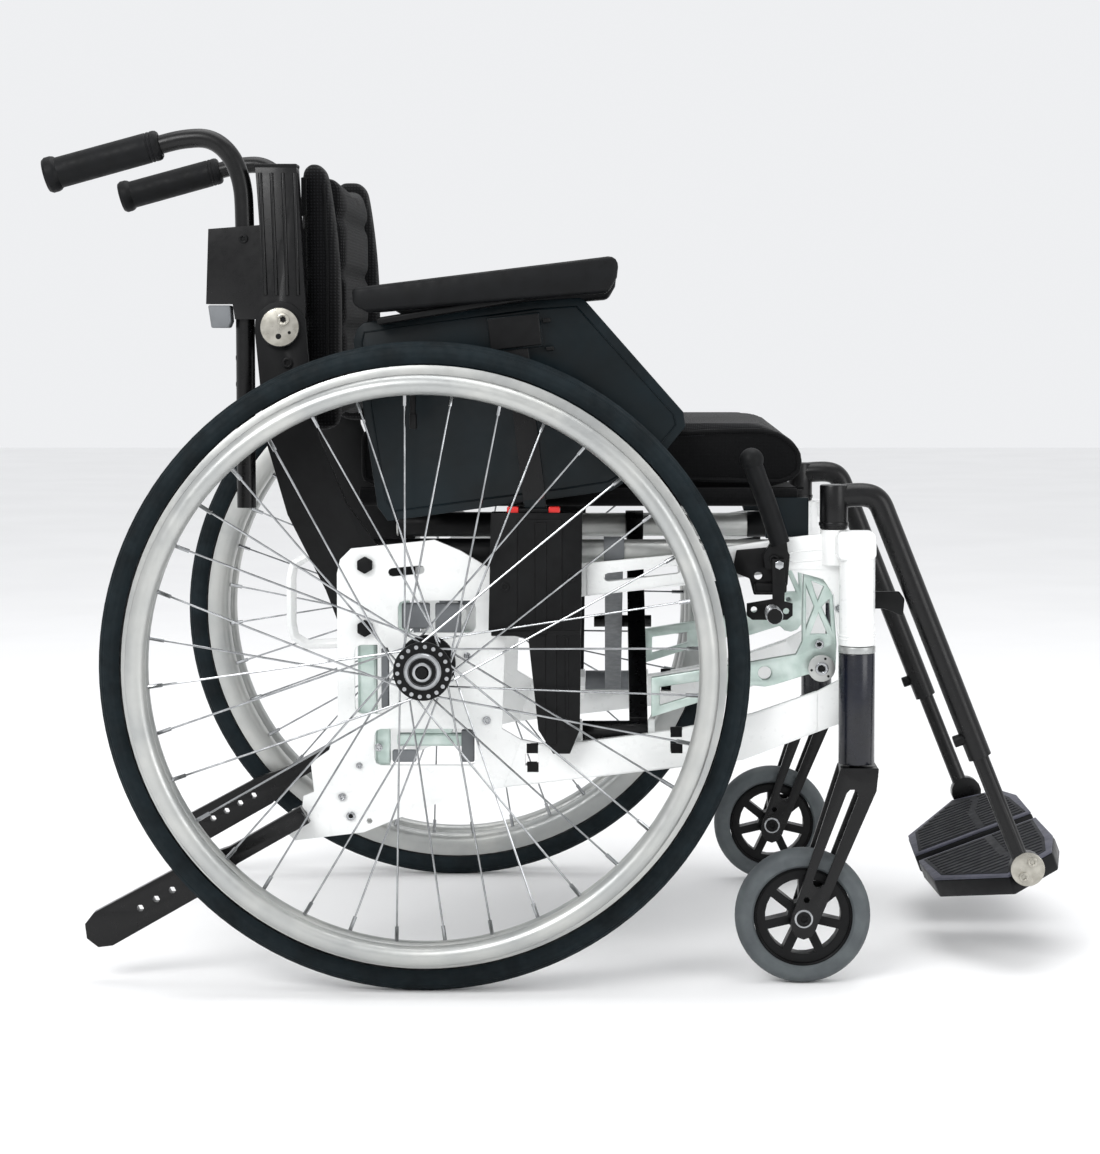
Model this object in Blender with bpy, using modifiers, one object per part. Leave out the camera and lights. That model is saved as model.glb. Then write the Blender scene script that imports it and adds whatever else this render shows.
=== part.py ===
# Folding manual wheelchair with adjustable frame, 24 inch rear wheels and 5 inch casters.
# Metres. +X is forward, +Y is the chair's left, +Z is up, and the floor is z = 0.
# Outlines are given as (x, z) from the rear axle line, and widths as a distance from the chair's middle.
# A piece of the right-hand side has side = -1, and one of the left-hand side has side = 1.

import bpy
import bmesh
from math import atan2, cos, pi, radians, sin
from mathutils import Matrix, Vector

# ---- driving dimensions ----
AXLE_X = -0.1222          # rear axle line, from the middle of the chair's length
AXLE_Z = 0.295            # rear axle height, the radius of a 25-540 tyre
WHEEL_Y = 0.275           # middle of the rear tyre
WHEEL_STEPS = 40
TYRE_HALF = 0.0125        # half of the tyre's section
RIM_R = 0.2740
HUB_FLANGE_R = 0.026
SPOKES = 36
PUSH_RIM_R = 0.2565
PUSH_RIM_TUBE = 0.0095
PUSH_RIM_OUT = 0.035      # push rim's plane, outboard of the tyre's
CASTER_R = 0.0625
CASTER_Y = 0.243
CASTER_X = 0.345
STEM_X = 0.394            # caster swivel axis
CASTER_STEPS = 24
PLATE_IN, PLATE_OUT = 0.2195, 0.2255    # the side frame's sheet
RAIL_IN, RAIL_OUT = 0.2095, 0.2265      # its thicker rails

FOLD_Y, FOLD_Z = 0.195, 0.225           # lower pivots of the cross arms
RAIL_Z = 0.393                          # seat rail tubes, the upper pivots
ARM_FRONT_X = 0.1945                    # middle of the arm from lower right to upper left
ARM_REAR_X = 0.1715
ARM_WIDE, ARM_DEEP = 0.017, 0.024
BARREL_X = (0.1420, 0.2030)

HANGER_X, HANGER_Y = 0.374, 0.222       # swing-away axis
LEG_TOP = (0.4200, 0.4335)              # straight part of the leg tube
LEG_END = (0.5108, 0.2049)
LEG_Y = 0.219
PLATE_TILT = radians(20.6)
PLATE_HINGE = (0.555, 0.101)
PLATE_HINGE_Y = 0.205
PLATE_INNER = 0.016                     # half of the gap between the two footplates

BACK_PIVOT = (-0.1354, 0.6027)
HANDLE_X, HANDLE_Y = -0.170, 0.200
ARM_LEAN = radians(6.6)                 # armrest post leans back as it rises
POST_FOOT = (0.0998, 0.4335)            # where the post's middle enters the socket
POST_Y = 0.237
POST_HALF = 0.010
CLAMP_PIVOT = (-0.2005, 0.6195)
BRAKE_PIVOT = (0.318, 0.390)
SHOE_PIVOT = (0.322, 0.385)
TIPPER_PIVOT = (-0.118, 0.152)

for old in list(bpy.data.objects):
    bpy.data.objects.remove(old)


def new_collection(name):
    collection = bpy.data.collections.new(name)
    bpy.context.scene.collection.children.link(collection)
    return collection


chair = new_collection("wheelchair")
helpers = new_collection("cutters")
helpers.hide_render = True


# ---- materials ----
def material(name, colour, roughness, metallic=0.0):
    made = bpy.data.materials.new(name)
    made.use_nodes = True
    shader = made.node_tree.nodes["Principled BSDF"]
    shader.inputs["Base Color"].default_value = (*colour, 1.0)
    shader.inputs["Roughness"].default_value = roughness
    shader.inputs["Metallic"].default_value = metallic
    return made


WHITE = material("white_powder_coat", (0.84, 0.84, 0.83), 0.35)
BLACK_COAT = material("black_powder_coat", (0.018, 0.018, 0.02), 0.35)
NAVY = material("navy_anodised", (0.012, 0.014, 0.03), 0.3, 0.4)
MINT = material("mint_cast_aluminium", (0.62, 0.74, 0.71), 0.35, 0.6)
SILVER = material("silver_anodised", (0.62, 0.62, 0.60), 0.35, 0.8)
STEEL = material("stainless_steel", (0.55, 0.55, 0.55), 0.25, 1.0)
GREY_COAT = material("grey_painted_metal", (0.10, 0.10, 0.11), 0.45)
TYRE = material("tyre_rubber", (0.022, 0.026, 0.028), 0.75)
CASTER_TYRE = material("caster_rubber", (0.11, 0.12, 0.12), 0.8)
GRIP = material("grip_rubber", (0.02, 0.02, 0.022), 0.85)
NYLON = material("black_nylon", (0.016, 0.016, 0.018), 0.5)
PANEL = material("dark_panel_plastic", (0.012, 0.022, 0.024), 0.4)
RED = material("red_plastic", (0.75, 0.02, 0.015), 0.4)
FABRIC = material("black_fabric", (0.015, 0.015, 0.017), 0.9)
MAT = material("footplate_nylon", (0.03, 0.03, 0.036), 0.7)


# ---- shape tools ----
def world(x, y, z):
    """A point given from the rear axle line, in the chair's own frame."""
    return Vector((AXLE_X + x, y, z))


def link(obj, collection=chair):
    for old in list(obj.users_collection):
        old.objects.unlink(obj)
    collection.objects.link(obj)
    return obj


def baked(obj):
    """The object as a closed mesh with its faces out, where it was a curve or had modifiers."""
    bpy.context.view_layer.update()
    graph = bpy.context.evaluated_depsgraph_get()
    mesh = bpy.data.meshes.new_from_object(obj.evaluated_get(graph))
    form = bmesh.new()
    form.from_mesh(mesh)
    bmesh.ops.remove_doubles(form, verts=form.verts, dist=1e-6)
    bmesh.ops.recalc_face_normals(form, faces=form.faces)
    form.to_mesh(mesh)
    form.free()
    name, place = obj.name, obj.matrix_world.copy()
    bpy.data.objects.remove(obj)
    solid = bpy.data.objects.new(name, mesh)
    solid.matrix_world = place
    return link(solid)


def arc(centre, radius, first, last, count):
    """Points on an arc, from one angle to another in degrees."""
    step = (last - first) / (count - 1)
    return [
        (
            centre[0] + radius * cos(radians(first + step * i)),
            centre[1] + radius * sin(radians(first + step * i)),
        )
        for i in range(count)
    ]


def circle(centre, radius, count=16):
    return arc(centre, radius, 0, 360, count + 1)[:-1]


def slot(start, end, half):
    """A slot's outline from the middle of one round end to the other's."""
    turn = atan2(end[1] - start[1], end[0] - start[0]) * 180 / pi
    return arc(end, half, turn - 90, turn + 90, 5) + arc(start, half, turn + 90, turn + 270, 5)


def rectangle(x0, x1, z0, z1, corner=0.0):
    if not corner:
        return [(x0, z0), (x1, z0), (x1, z1), (x0, z1)]
    places = ((x1, z0, -90), (x1, z1, 0), (x0, z1, 90), (x0, z0, 180))
    points = []
    for x, z, turn in places:
        centre = (x - corner if x == x1 else x + corner, z - corner if z == z1 else z + corner)
        points += arc(centre, corner, turn, turn + 90, 3)
    return points


def flat(name, outline, y0, y1, holes=(), pivot=(0.0, 0.0)):
    """A sheet cut to an outline in the side view, between two distances from the middle."""
    curve = bpy.data.curves.new(name, "CURVE")
    curve.dimensions, curve.fill_mode = "2D", "BOTH"
    curve.extrude = abs(y1 - y0) / 2
    for loop in (outline, *holes):
        spline = curve.splines.new("POLY")
        spline.points.add(len(loop) - 1)
        for point, (x, z) in zip(spline.points, loop):
            point.co = (x - pivot[0], z - pivot[1], 0, 1)
        spline.use_cyclic_u = True
    sheet = link(bpy.data.objects.new(name, curve))
    place = Matrix.Translation(world(pivot[0], (y0 + y1) / 2, pivot[1]))
    sheet.matrix_world = place @ Matrix.Rotation(pi / 2, 4, "X")
    return baked(sheet)


def tube(name, points, radius, sides=8, pivot=None):
    """A round bar along points given from the rear axle line."""
    pivot = Vector(pivot or points[0])
    curve = bpy.data.curves.new(name, "CURVE")
    curve.dimensions, curve.bevel_depth = "3D", radius
    curve.bevel_resolution = sides // 2 - 2
    curve.use_fill_caps = True
    spline = curve.splines.new("POLY")
    spline.points.add(len(points) - 1)
    for point, place in zip(spline.points, points):
        point.co = (*(Vector(place) - pivot), 1)
    bar = link(bpy.data.objects.new(name, curve))
    bar.matrix_world = Matrix.Translation(world(*pivot))
    return baked(bar)


def turned(name, profile, at, along=(0, 0, 1), steps=16, closed=False):
    """A turned shape: (radius, distance along the axis) points spun about an axis through a point."""
    mesh = bpy.data.meshes.new(name)
    edges = [(i, i + 1) for i in range(len(profile) - 1)]
    if closed:
        edges.append((len(profile) - 1, 0))
    half_step = Matrix.Rotation(pi / steps, 4, "Z")
    mesh.from_pydata([half_step @ Vector((r, 0, s)) for r, s in profile], edges, [])
    spun = link(bpy.data.objects.new(name, mesh))
    screw = spun.modifiers.new("turn", "SCREW")
    screw.axis, screw.steps, screw.render_steps = "Z", steps, steps
    screw.use_merge_vertices, screw.merge_threshold = True, 1e-5
    turn = Vector((0, 0, 1)).rotation_difference(Vector(along)).to_matrix().to_4x4()
    spun.matrix_world = Matrix.Translation(world(*at)) @ turn
    return baked(spun)


def rod(name, start, end, radius, steps=12):
    """A plain round bar between two points."""
    run = Vector(end) - Vector(start)
    profile = [(0, run.length), (radius, run.length), (radius, 0), (0, 0)]
    return turned(name, profile, start, run.normalized(), steps)


def block(name, low, high, pivot=None):
    """A box between two corners given from the rear axle line."""
    low, high = Vector(low), Vector(high)
    pivot = Vector(pivot) if pivot else (low + high) / 2
    form = bmesh.new()
    bmesh.ops.create_cube(form, size=1)
    bmesh.ops.scale(form, vec=[abs(s) for s in high - low], verts=form.verts)
    bmesh.ops.translate(form, vec=(low + high) / 2 - pivot, verts=form.verts)
    mesh = bpy.data.meshes.new(name)
    form.to_mesh(mesh)
    form.free()
    box = link(bpy.data.objects.new(name, mesh))
    box.matrix_world = Matrix.Translation(world(*pivot))
    return box


def bevel(obj, width, segments=1):
    tool = obj.modifiers.new("edges", "BEVEL")
    tool.width, tool.segments, tool.limit_method = width, segments, "ANGLE"
    return obj


def combine(obj, operation, tools):
    """Adds or cuts helper shapes, which are kept as wires in the cutters' collection."""
    for number, tool in enumerate(tools):
        link(tool, helpers)
        tool.hide_render, tool.display_type = True, "WIRE"
        boolean = obj.modifiers.new(f"{operation.lower()} {number}", "BOOLEAN")
        boolean.operation, boolean.object = operation, tool
    return obj


def join(obj, *tools):
    return combine(obj, "UNION", tools)


def cut(obj, *tools):
    return combine(obj, "DIFFERENCE", tools)


def sturdy(obj):
    """Another solver, where the exact one leaves open edges on faces that are nearly parallel."""
    for boolean in obj.modifiers:
        boolean.solver = "MANIFOLD"


def finish(obj, name, look, sharp=35):
    obj.name = name
    for number, modifier in enumerate(obj.modifiers):
        if modifier.type == "BOOLEAN":
            modifier.object.name = f"{name}_tool_{number}"
    obj.data.name = name
    obj.data.materials.clear()
    obj.data.materials.append(look)
    obj.data.shade_smooth()
    obj.data.set_sharp_from_angle(angle=radians(sharp))
    return obj


def named(part, side):
    return f"{part}_{'right' if side < 0 else 'left'}"


# ---- rear wheel ----
def rear_wheel(side):
    middle = (0, side * WHEEL_Y, AXLE_Z)
    axis = (0, side, 0)
    tyre_r = AXLE_Z / cos(pi / WHEEL_STEPS)
    section = [(tyre_r - TYRE_HALF + r, s) for r, s in arc((0, 0), TYRE_HALF, 125, -125, 8)]
    finish(turned("t", section, middle, axis, WHEEL_STEPS, True), named("rear_tyre", side), TYRE)

    rim = [(RIM_R, 0.010), (RIM_R, -0.010), (0.260, -0.0105), (0.2505, -0.006), (0.2505, 0.006),
           (0.260, 0.0105)]
    finish(turned("t", rim, middle, axis, WHEEL_STEPS, True), named("rear_rim", side), SILVER)

    flange = [(0.0165, 0.0255), (HUB_FLANGE_R, 0.026), (HUB_FLANGE_R, 0.032), (0.016, 0.032)]
    half = [(0.016, 0.036), (0.0086, 0.038), (0.0086, 0.040), (0.005, 0.040), (0.005, 0.044), (0, 0.044)]
    pin = [(0.0064, -0.034), (0.0064, -0.075), (0, -0.075)]
    profile = half[::-1] + flange[::-1] + [(r, -s) for r, s in flange] + [(0.015, -0.034)] + pin
    hub = turned("t", profile, middle, axis, 20)
    form = bmesh.new()
    for number in range(SPOKES):
        out, lead = (-1) ** number, (-1) ** (number // 2)
        rim_turn = 2 * pi * number / SPOKES + radians(4)
        hub_turn = rim_turn + lead * radians(60)
        inner = Vector((0.0225 * cos(hub_turn), 0.0225 * sin(hub_turn), out * (0.029 + lead * 0.002)))
        outer = Vector((0.2488 * cos(rim_turn), 0.2488 * sin(rim_turn), out * 0.003))
        run = outer - inner
        turn = Vector((0, 0, 1)).rotation_difference(run).to_matrix().to_4x4()
        place = Matrix.Translation((inner + outer) / 2) @ turn
        bmesh.ops.create_cone(
            form, cap_ends=True, segments=3, radius1=0.0011, radius2=0.0011, depth=run.length, matrix=place
        )
    mesh = bpy.data.meshes.new("spokes")
    form.to_mesh(mesh)
    form.free()
    spokes = link(bpy.data.objects.new("spokes", mesh))
    spokes.matrix_world = hub.matrix_world
    finish(join(hub, spokes), named("wheel_hub", side), STEEL)

    ring_y = side * (WHEEL_Y + PUSH_RIM_OUT)
    section = [(PUSH_RIM_R + r, s) for r, s in circle((0, 0), PUSH_RIM_TUBE, 6)][::-1]
    ring = turned("t", section, (0, ring_y, AXLE_Z), axis, WHEEL_STEPS, True)
    form = bmesh.new()
    for number in range(6):
        turn = Matrix.Rotation(pi * number / 3 + radians(15), 4, "Z")
        inner, outer = -PUSH_RIM_OUT + 0.0108, -0.004
        place = turn @ Matrix.Translation((PUSH_RIM_R + 0.002, 0, (inner + outer) / 2))
        size = Matrix.Diagonal((0.003, 0.020, outer - inner, 1))
        bmesh.ops.create_cube(form, size=1, matrix=place @ size)
    mesh = bpy.data.meshes.new("tabs")
    form.to_mesh(mesh)
    form.free()
    tabs = link(bpy.data.objects.new("tabs", mesh))
    tabs.matrix_world = ring.matrix_world
    finish(join(ring, tabs), named("push_rim", side), SILVER)


# ---- caster ----
def caster(side):
    y = side * CASTER_Y
    axis = (0, side, 0)
    middle = (CASTER_X, y, CASTER_R)
    tyre_r = CASTER_R / cos(pi / CASTER_STEPS)
    section = [(0.0450, -0.010), (0.0450, 0.010), (0.057, 0.012), (tyre_r, 0.006), (tyre_r, -0.006),
               (0.057, -0.012)]
    finish(turned("t", section, middle, axis, CASTER_STEPS, True), named("caster_tyre", side), CASTER_TYRE)

    windows = []
    for number in range(7):
        turn = 360 * number / 7 + 13
        windows.append(
            arc((CASTER_X, CASTER_R), 0.035, turn - 19, turn + 19, 4)
            + arc((CASTER_X, CASTER_R), 0.0145, turn + 9, turn - 9, 2)
        )
    holes = [*windows, circle(middle[::2], 0.0052, 12)]
    disc = flat("t", circle(middle[::2], 0.0440, CASTER_STEPS), y - 0.009, y + 0.009, holes, middle[::2])
    finish(disc, named("caster_rim", side), NYLON)

    leg = [(0.378, 0.2), (0.413, 0.2), (0.411, 0.180), (0.3575, 0.056)]
    leg += arc((CASTER_X, 0.0545), 0.0115, -10, -170, 5) + [(0.333, 0.060)]
    window = slot((0.3585, 0.096), (0.389, 0.176), 0.0055)
    legs = [
        flat("t", leg, y + edge * 0.0145, y + edge * 0.0185, [window, circle((0.3475, 0.0795), 0.003, 6)],
             (STEM_X, 0.2))
        for edge in (-1, 1)
    ]
    bridge = block("t", (0.3785, y - 0.0183, 0.1925), (0.4125, y + 0.0183, 0.2007))
    stem = rod("t", (STEM_X, y, 0.195), (STEM_X, y, 0.234), 0.006)
    axle = rod("t", (CASTER_X, y - 0.0165, CASTER_R), (CASTER_X, y + 0.0165, CASTER_R), 0.0045)
    finish(join(legs[0], legs[1], bridge, stem, axle), named("caster_fork", side), BLACK_COAT)

    bore = [(0, 0.238), (0.0068, 0.238), (0.0068, 0.2025)]
    shell = [(0.0165, 0.2025), (0.0165, 0.305), (0.0172, 0.306), (0.0172, 0.3113), (0, 0.3113)]
    housing = turned("t", (bore + shell)[::-1], (STEM_X, y, 0), (0, 0, 1), 20)
    finish(housing, named("caster_housing", side), NAVY)


# ---- side frame ----
def side_frame(side):
    y0, y1 = side * PLATE_IN, side * PLATE_OUT
    rear_top = [(-0.084, 0.376), (-0.081, 0.389), (-0.071, 0.399), (0.006, 0.407), (0.030, 0.397),
                (0.058, 0.380)]
    front_top = [(0.100, 0.381), (0.2256, 0.393), (0.328, 0.4086), (0.391, 0.4156), (0.395, 0.378),
                 (0.402, 0.31)]
    rail_low = [(0.402, 0.242), (0.378, 0.236), (0.359, 0.229), (0.2905, 0.203), (0.223, 0.194),
                (0.067, 0.177)]
    rear_low = [(0.020, 0.167), (-0.030, 0.148), (-0.060, 0.1356), (-0.124, 0.128), (-0.137, 0.140)]
    notches = [(-0.128, 0.147), (-0.127, 0.156), (-0.117, 0.160), (-0.116, 0.169), (-0.106, 0.173)]
    rear_up = [(-0.109, 0.200), (-0.092, 0.212), (-0.084, 0.240)]
    outline = rear_top + front_top + rail_low + rear_low + notches + rear_up
    rail_top = [(0.068, 0.232), (0.085, 0.222), (0.113, 0.216), (0.187, 0.226), (0.223, 0.230),
                (0.300, 0.246)]
    rail_top += [(0.359, 0.2665), (0.379, 0.277)]
    arch = [(0.379, 0.310), (0.374, 0.357), (0.364, 0.371), (0.334, 0.379)]
    bar_low = [(0.236, 0.365), (0.150, 0.355), (0.072, 0.347)]
    squares = [rectangle(x - 0.0055, x + 0.0055, z - 0.0055, z + 0.0055)
               for x, z in ((0.095, 0.2035), (0.229, 0.2165))]
    holes = [
        rail_top + arch + bar_low,
        slot((-0.033, 0.377), (-0.007, 0.3795), 0.004),
        rectangle(-0.028, 0.044, 0.321, 0.351, 0.006),
        rectangle(-0.068, -0.036, 0.246, 0.310, 0.006),
        rectangle(-0.050, 0.044, 0.198, 0.232, 0.006),
        *[circle(at, 0.0056, 8) for at in ((-0.058, 0.384), (-0.058, 0.3255))],
        *[circle(at, 0.003, 6) for at in ((-0.080, 0.169), (-0.072, 0.151), (-0.055, 0.146))],
    ]
    sheet = flat("t", outline, y0, y1, holes)

    inner, outer = side * RAIL_IN, side * RAIL_OUT
    low = [(0.070, 0.1785)] + [(x, z + 0.0012) for x, z in rail_low[:1:-1][1:]]
    high = [(x, z - 0.0012) for x, z in rail_top[:0:-1][1:]]
    lower_rail = flat("t", low + high, inner, outer)
    high = [(0.1465, 0.3848), (0.2256, 0.3918), (0.328, 0.4070), (0.378, 0.4128), (0.378, 0.3795)]
    bar = [(0.335, 0.3802), (0.236, 0.3662), (0.1465, 0.3558)]
    upper_rail = flat("t", high + bar, side * 0.2105, outer)

    upright = rod("t", (STEM_X, side * CASTER_Y, 0.3119), (STEM_X, side * CASTER_Y, 0.404), 0.0165, 14)
    web = block("t", (0.384, side * 0.222, 0.3180), (0.3985, side * 0.245, 0.4000))
    socket = rod("t", (HANGER_X, side * HANGER_Y, 0.384), (HANGER_X, side * HANGER_Y, 0.4165), 0.0125, 12)
    boss = rod("t", (0, side * 0.205, AXLE_Z), (0, side * 0.237, AXLE_Z), 0.014, 12)
    lugs = [
        block("t", (x + 0.0005, side * 0.187, 0.207), (x + 0.0055, side * 0.2115, 0.219))
        for x in (BARREL_X[0] - 0.0064, BARREL_X[1] + 0.0004)
    ]
    ears = [
        rod("t", (x, side * FOLD_Y, FOLD_Z), (x + 0.006, side * FOLD_Y, FOLD_Z), 0.0125, 8)
        for x in (BARREL_X[0] - 0.0064, BARREL_X[1] + 0.0004)
    ]
    more = [lower_rail, upper_rail, upright, web, socket, boss, *lugs, *ears]
    if side > 0:
        y = side * 0.2257
        loop = [(-0.078, y, 0.352), (-0.160, y, 0.356), (-0.174, y, 0.347), (-0.177, y, 0.333)]
        loop += [(-0.177, y, 0.283), (-0.174, y, 0.269), (-0.160, y, 0.260), (-0.078, y, 0.264)]
        more.append(tube("t", loop, 0.006, 6))
    join(sheet, *more)
    axle_bore = rod("t", (0, side * 0.195, AXLE_Z), (0, side * 0.245, AXLE_Z), 0.0070, 12)
    hanger_bore = rod("t", (HANGER_X, side * HANGER_Y, 0.393), (HANGER_X, side * HANGER_Y, 0.425), 0.0066)
    windows = [
        flat("t", shape, side * 0.200, side * 0.235)
        for shape in (slot((0.166, 0.3725), (0.229, 0.3795), 0.004), *squares)
    ]
    cut(sheet, axle_bore, hanger_bore, *windows)
    sturdy(sheet)
    finish(sheet, named("side_frame", side), WHITE)


def lattice_bracket(side):
    top = [(0.347, 0.3765), (0.366, 0.3690), (0.374, 0.355), (0.3775, 0.310), (0.3765, 0.286)]
    bottom = arc((0.363, 0.2885), 0.013, -20, -150, 5)
    arm = [(0.320, 0.272), (0.311, 0.2703), (0.300, 0.2715), (0.206, 0.2420), (0.206, 0.2785),
           (0.300, 0.2935)]
    outline = top + bottom + arm + [(0.311, 0.2955), (0.340, 0.3005), (0.3455, 0.312), (0.3455, 0.345)]
    holes = [
        [(0.3490, 0.363), (0.3490, 0.325), (0.3565, 0.3445)],
        [(0.3705, 0.352), (0.3725, 0.325), (0.3635, 0.3445)],
        [(0.3535, 0.3690), (0.3655, 0.3635), (0.3600, 0.3500)],
        [(0.3530, 0.3190), (0.3690, 0.3190), (0.3605, 0.3390)],
        circle((0.311, 0.283), 0.0065, 10),
        circle((0.361, 0.3105), 0.003, 6),
        [(0.214, 0.2525), (0.214, 0.2700), (0.252, 0.2755), (0.252, 0.2640)],
    ]
    plate = flat("t", outline, side * 0.2095, side * 0.2192, holes)
    finish(plate, named("lattice_bracket", side), MINT)


def back_bracket(side):
    head = arc(BACK_PIVOT, 0.024, 190, -10, 9)
    right = [(-0.108, 0.553), (-0.100, 0.500), (-0.075, 0.440), (-0.042, 0.395), (-0.042, 0.315)]
    left = [(-0.078, 0.315), (-0.095, 0.360), (-0.130, 0.430), (-0.150, 0.500), (-0.156, 0.560)]
    plate = flat("t", head + right + left, side * 0.2135, side * 0.2192, [circle(BACK_PIVOT, 0.0068, 12)])
    bolts = []
    for x, z in ((-0.058, 0.384), (-0.058, 0.3255)):
        bolts.append(rod("t", (x, side * 0.216, z), (x, side * 0.227, z), 0.005, 8))
        bolts.append(rod("t", (x, side * 0.2258, z), (x, side * 0.231, z), 0.008, 6))
    finish(join(plate, *bolts), named("back_bracket", side), BLACK_COAT)


# ---- folding cross brace ----
def cross_arm(side, x, look):
    """The arm from this side's lower pivot up to the other side's seat rail."""
    foot, head = Vector((x, side * FOLD_Y, FOLD_Z)), Vector((x, -side * FOLD_Y, RAIL_Z))
    run = head - foot
    form = bmesh.new()
    bmesh.ops.create_cube(form, size=1)
    bmesh.ops.scale(form, vec=(ARM_WIDE, run.length - 0.012, ARM_DEEP), verts=form.verts)
    turn = Matrix.Rotation(atan2(run.z, run.y), 3, "X")
    bmesh.ops.rotate(form, matrix=turn, verts=form.verts)
    bmesh.ops.translate(form, vec=run / 2, verts=form.verts)
    mesh = bpy.data.meshes.new("arm")
    form.to_mesh(mesh)
    form.free()
    arm = link(bpy.data.objects.new("t", mesh))
    arm.matrix_world = Matrix.Translation(world(*foot))
    barrel = rod("t", (BARREL_X[0], foot.y, foot.z), (BARREL_X[1], foot.y, foot.z), 0.0105)
    eye = rod("t", (x - 0.0095, head.y, head.z), (x + 0.0095, head.y, head.z), 0.0151, 16)
    join(arm, barrel, eye)
    cut(arm, rod("t", (x - 0.02, head.y, head.z), (x + 0.02, head.y, head.z), 0.0132, 16))
    middle = (foot + head) / 2
    if side < 0:
        join(arm, rod("t", (0.152, 0, middle.z), (0.2095, 0, middle.z), 0.006))
    else:
        cut(arm, rod("t", (0.140, 0, middle.z), (0.220, 0, middle.z), 0.0068))
    sturdy(arm)
    finish(arm, named("cross_arm", side), look)


def seat_rail(side):
    rail = rod("t", (-0.060, side * FOLD_Y, RAIL_Z), (0.345, side * FOLD_Y, RAIL_Z), 0.0125, 16)
    finish(rail, named("seat_rail", side), SILVER)


# ---- brake ----
def brake(side):
    body = [(0.280, 0.378), (0.284, 0.398), (0.327, 0.402), (0.333, 0.394), (0.331, 0.366), (0.322, 0.357)]
    body += [(0.300, 0.357), (0.296, 0.372)]
    plate = flat("t", body, side * 0.2269, side * 0.2330, [circle((0.304, 0.3745), 0.004, 8)])
    finish(plate, named("brake_body", side), NYLON)

    foot = [(0.310, 0.381), (0.326, 0.381), (0.331, 0.396), (0.329, 0.412), (0.318, 0.412), (0.308, 0.394)]
    lever = flat("t", foot, side * 0.2334, side * 0.2398, (), BRAKE_PIVOT)
    y = side * 0.242
    handle = tube("t", [(0.3235, y, 0.405), (0.3135, y, 0.434), (0.304, y, 0.460), (0.2975, y, 0.480)],
                  0.0085)
    knob = turned("t", arc((0, 0), 0.0105, 90, -90, 7), (0.2970, y, 0.4815), steps=12)
    finish(join(lever, handle, knob), named("brake_lever", side), BLACK_COAT)

    link_bar = [(0.316, 0.391), (0.328, 0.391), (0.3275, 0.352), (0.335, 0.3500), (0.335, 0.339),
                (0.330, 0.335)]
    link_bar += [(0.298, 0.335), (0.293, 0.339), (0.293, 0.350), (0.3165, 0.354)]
    holes = [circle((0.2995, 0.3445), 0.003, 8), circle((0.3290, 0.3430), 0.003, 8)]
    shoe = flat("t", link_bar, side * 0.2403, side * 0.2445, holes, SHOE_PIVOT)
    pin = rod("t", (0.316, side * 0.242, 0.3425), (0.316, side * 0.288, 0.3425), 0.007, 12)
    finish(join(shoe, pin), named("brake_shoe", side), STEEL)


# ---- footrest ----
def footrest(side):
    y = side * LEG_Y
    run = Vector((LEG_END[0] - LEG_TOP[0], 0, LEG_END[1] - LEG_TOP[1])).normalized()
    pivot = (HANGER_X, side * HANGER_Y, 0.4375)
    post = rod("t", (HANGER_X, pivot[1], 0.4169), (HANGER_X, pivot[1], 0.458), 0.013, 16)
    pin = rod("t", (HANGER_X, pivot[1], 0.395), (HANGER_X, pivot[1], 0.425), 0.006)
    bend = [(0.378, y, 0.4465), (0.398, y, 0.4480), (0.409, y, 0.4460), (0.4160, y, 0.4410)]
    leg_end = (LEG_END[0], y, LEG_END[1])
    pipe = tube("t", [*bend, (LEG_TOP[0], y, LEG_TOP[1]), leg_end], 0.011, 12, pivot)
    knob = rod("t", (0.4990, side * 0.2210, 0.2235), (0.4860, side * 0.2210, 0.2190), 0.0055, 8)
    join(pipe, post, pin, knob)
    bore_top = Vector(leg_end) - run * 0.195
    cut(pipe, rod("t", bore_top, Vector(leg_end) + run * 0.01, 0.0085))
    finish(pipe, named("hanger", side), BLACK_COAT)

    catch = flat("t", [(0.4035, 0.343), (0.4210, 0.343), (0.4385, 0.336), (0.4400, 0.352), (0.4350, 0.359),
                       (0.4065, 0.359)], side * 0.2165, side * 0.2215, (), (0.4065, 0.351))
    finish(catch, named("hanger_release", side), NYLON)

    top = Vector(leg_end) - run * 0.090
    foot = Vector((0.5498, y, 0.1074))
    pole = rod("t", top, foot + run * 0.004, 0.0078)
    disc = rod("t", (PLATE_HINGE[0], side * 0.2113, PLATE_HINGE[1]),
               (PLATE_HINGE[0], side * 0.2255, PLATE_HINGE[1]), 0.016, 16)
    finish(join(pole, disc), named("footrest_tube", side), BLACK_COAT)

    outline = [(-0.0790, PLATE_INNER), (-0.0755, 0.115), (-0.0170, 0.2110), (0.0290, 0.1775), (0.0400, 0.118),
               (0.0390, PLATE_INNER)]
    curve = bpy.data.curves.new("t", "CURVE")
    curve.dimensions, curve.fill_mode, curve.extrude = "2D", "BOTH", 0.010
    spline = curve.splines.new("POLY")
    spline.points.add(len(outline) - 1)
    for point, (x, width) in zip(spline.points, outline):
        point.co = (x / cos(PLATE_TILT), side * (width - PLATE_HINGE_Y), -0.012, 1)
    spline.use_cyclic_u = True
    plate = link(bpy.data.objects.new("t", curve))
    place = Matrix.Translation(world(PLATE_HINGE[0], side * PLATE_HINGE_Y, PLATE_HINGE[1]))
    plate.matrix_world = place @ Matrix.Rotation(-PLATE_TILT, 4, "Y")
    finish(bevel(baked(plate), 0.002), named("footplate", side), MAT)


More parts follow.
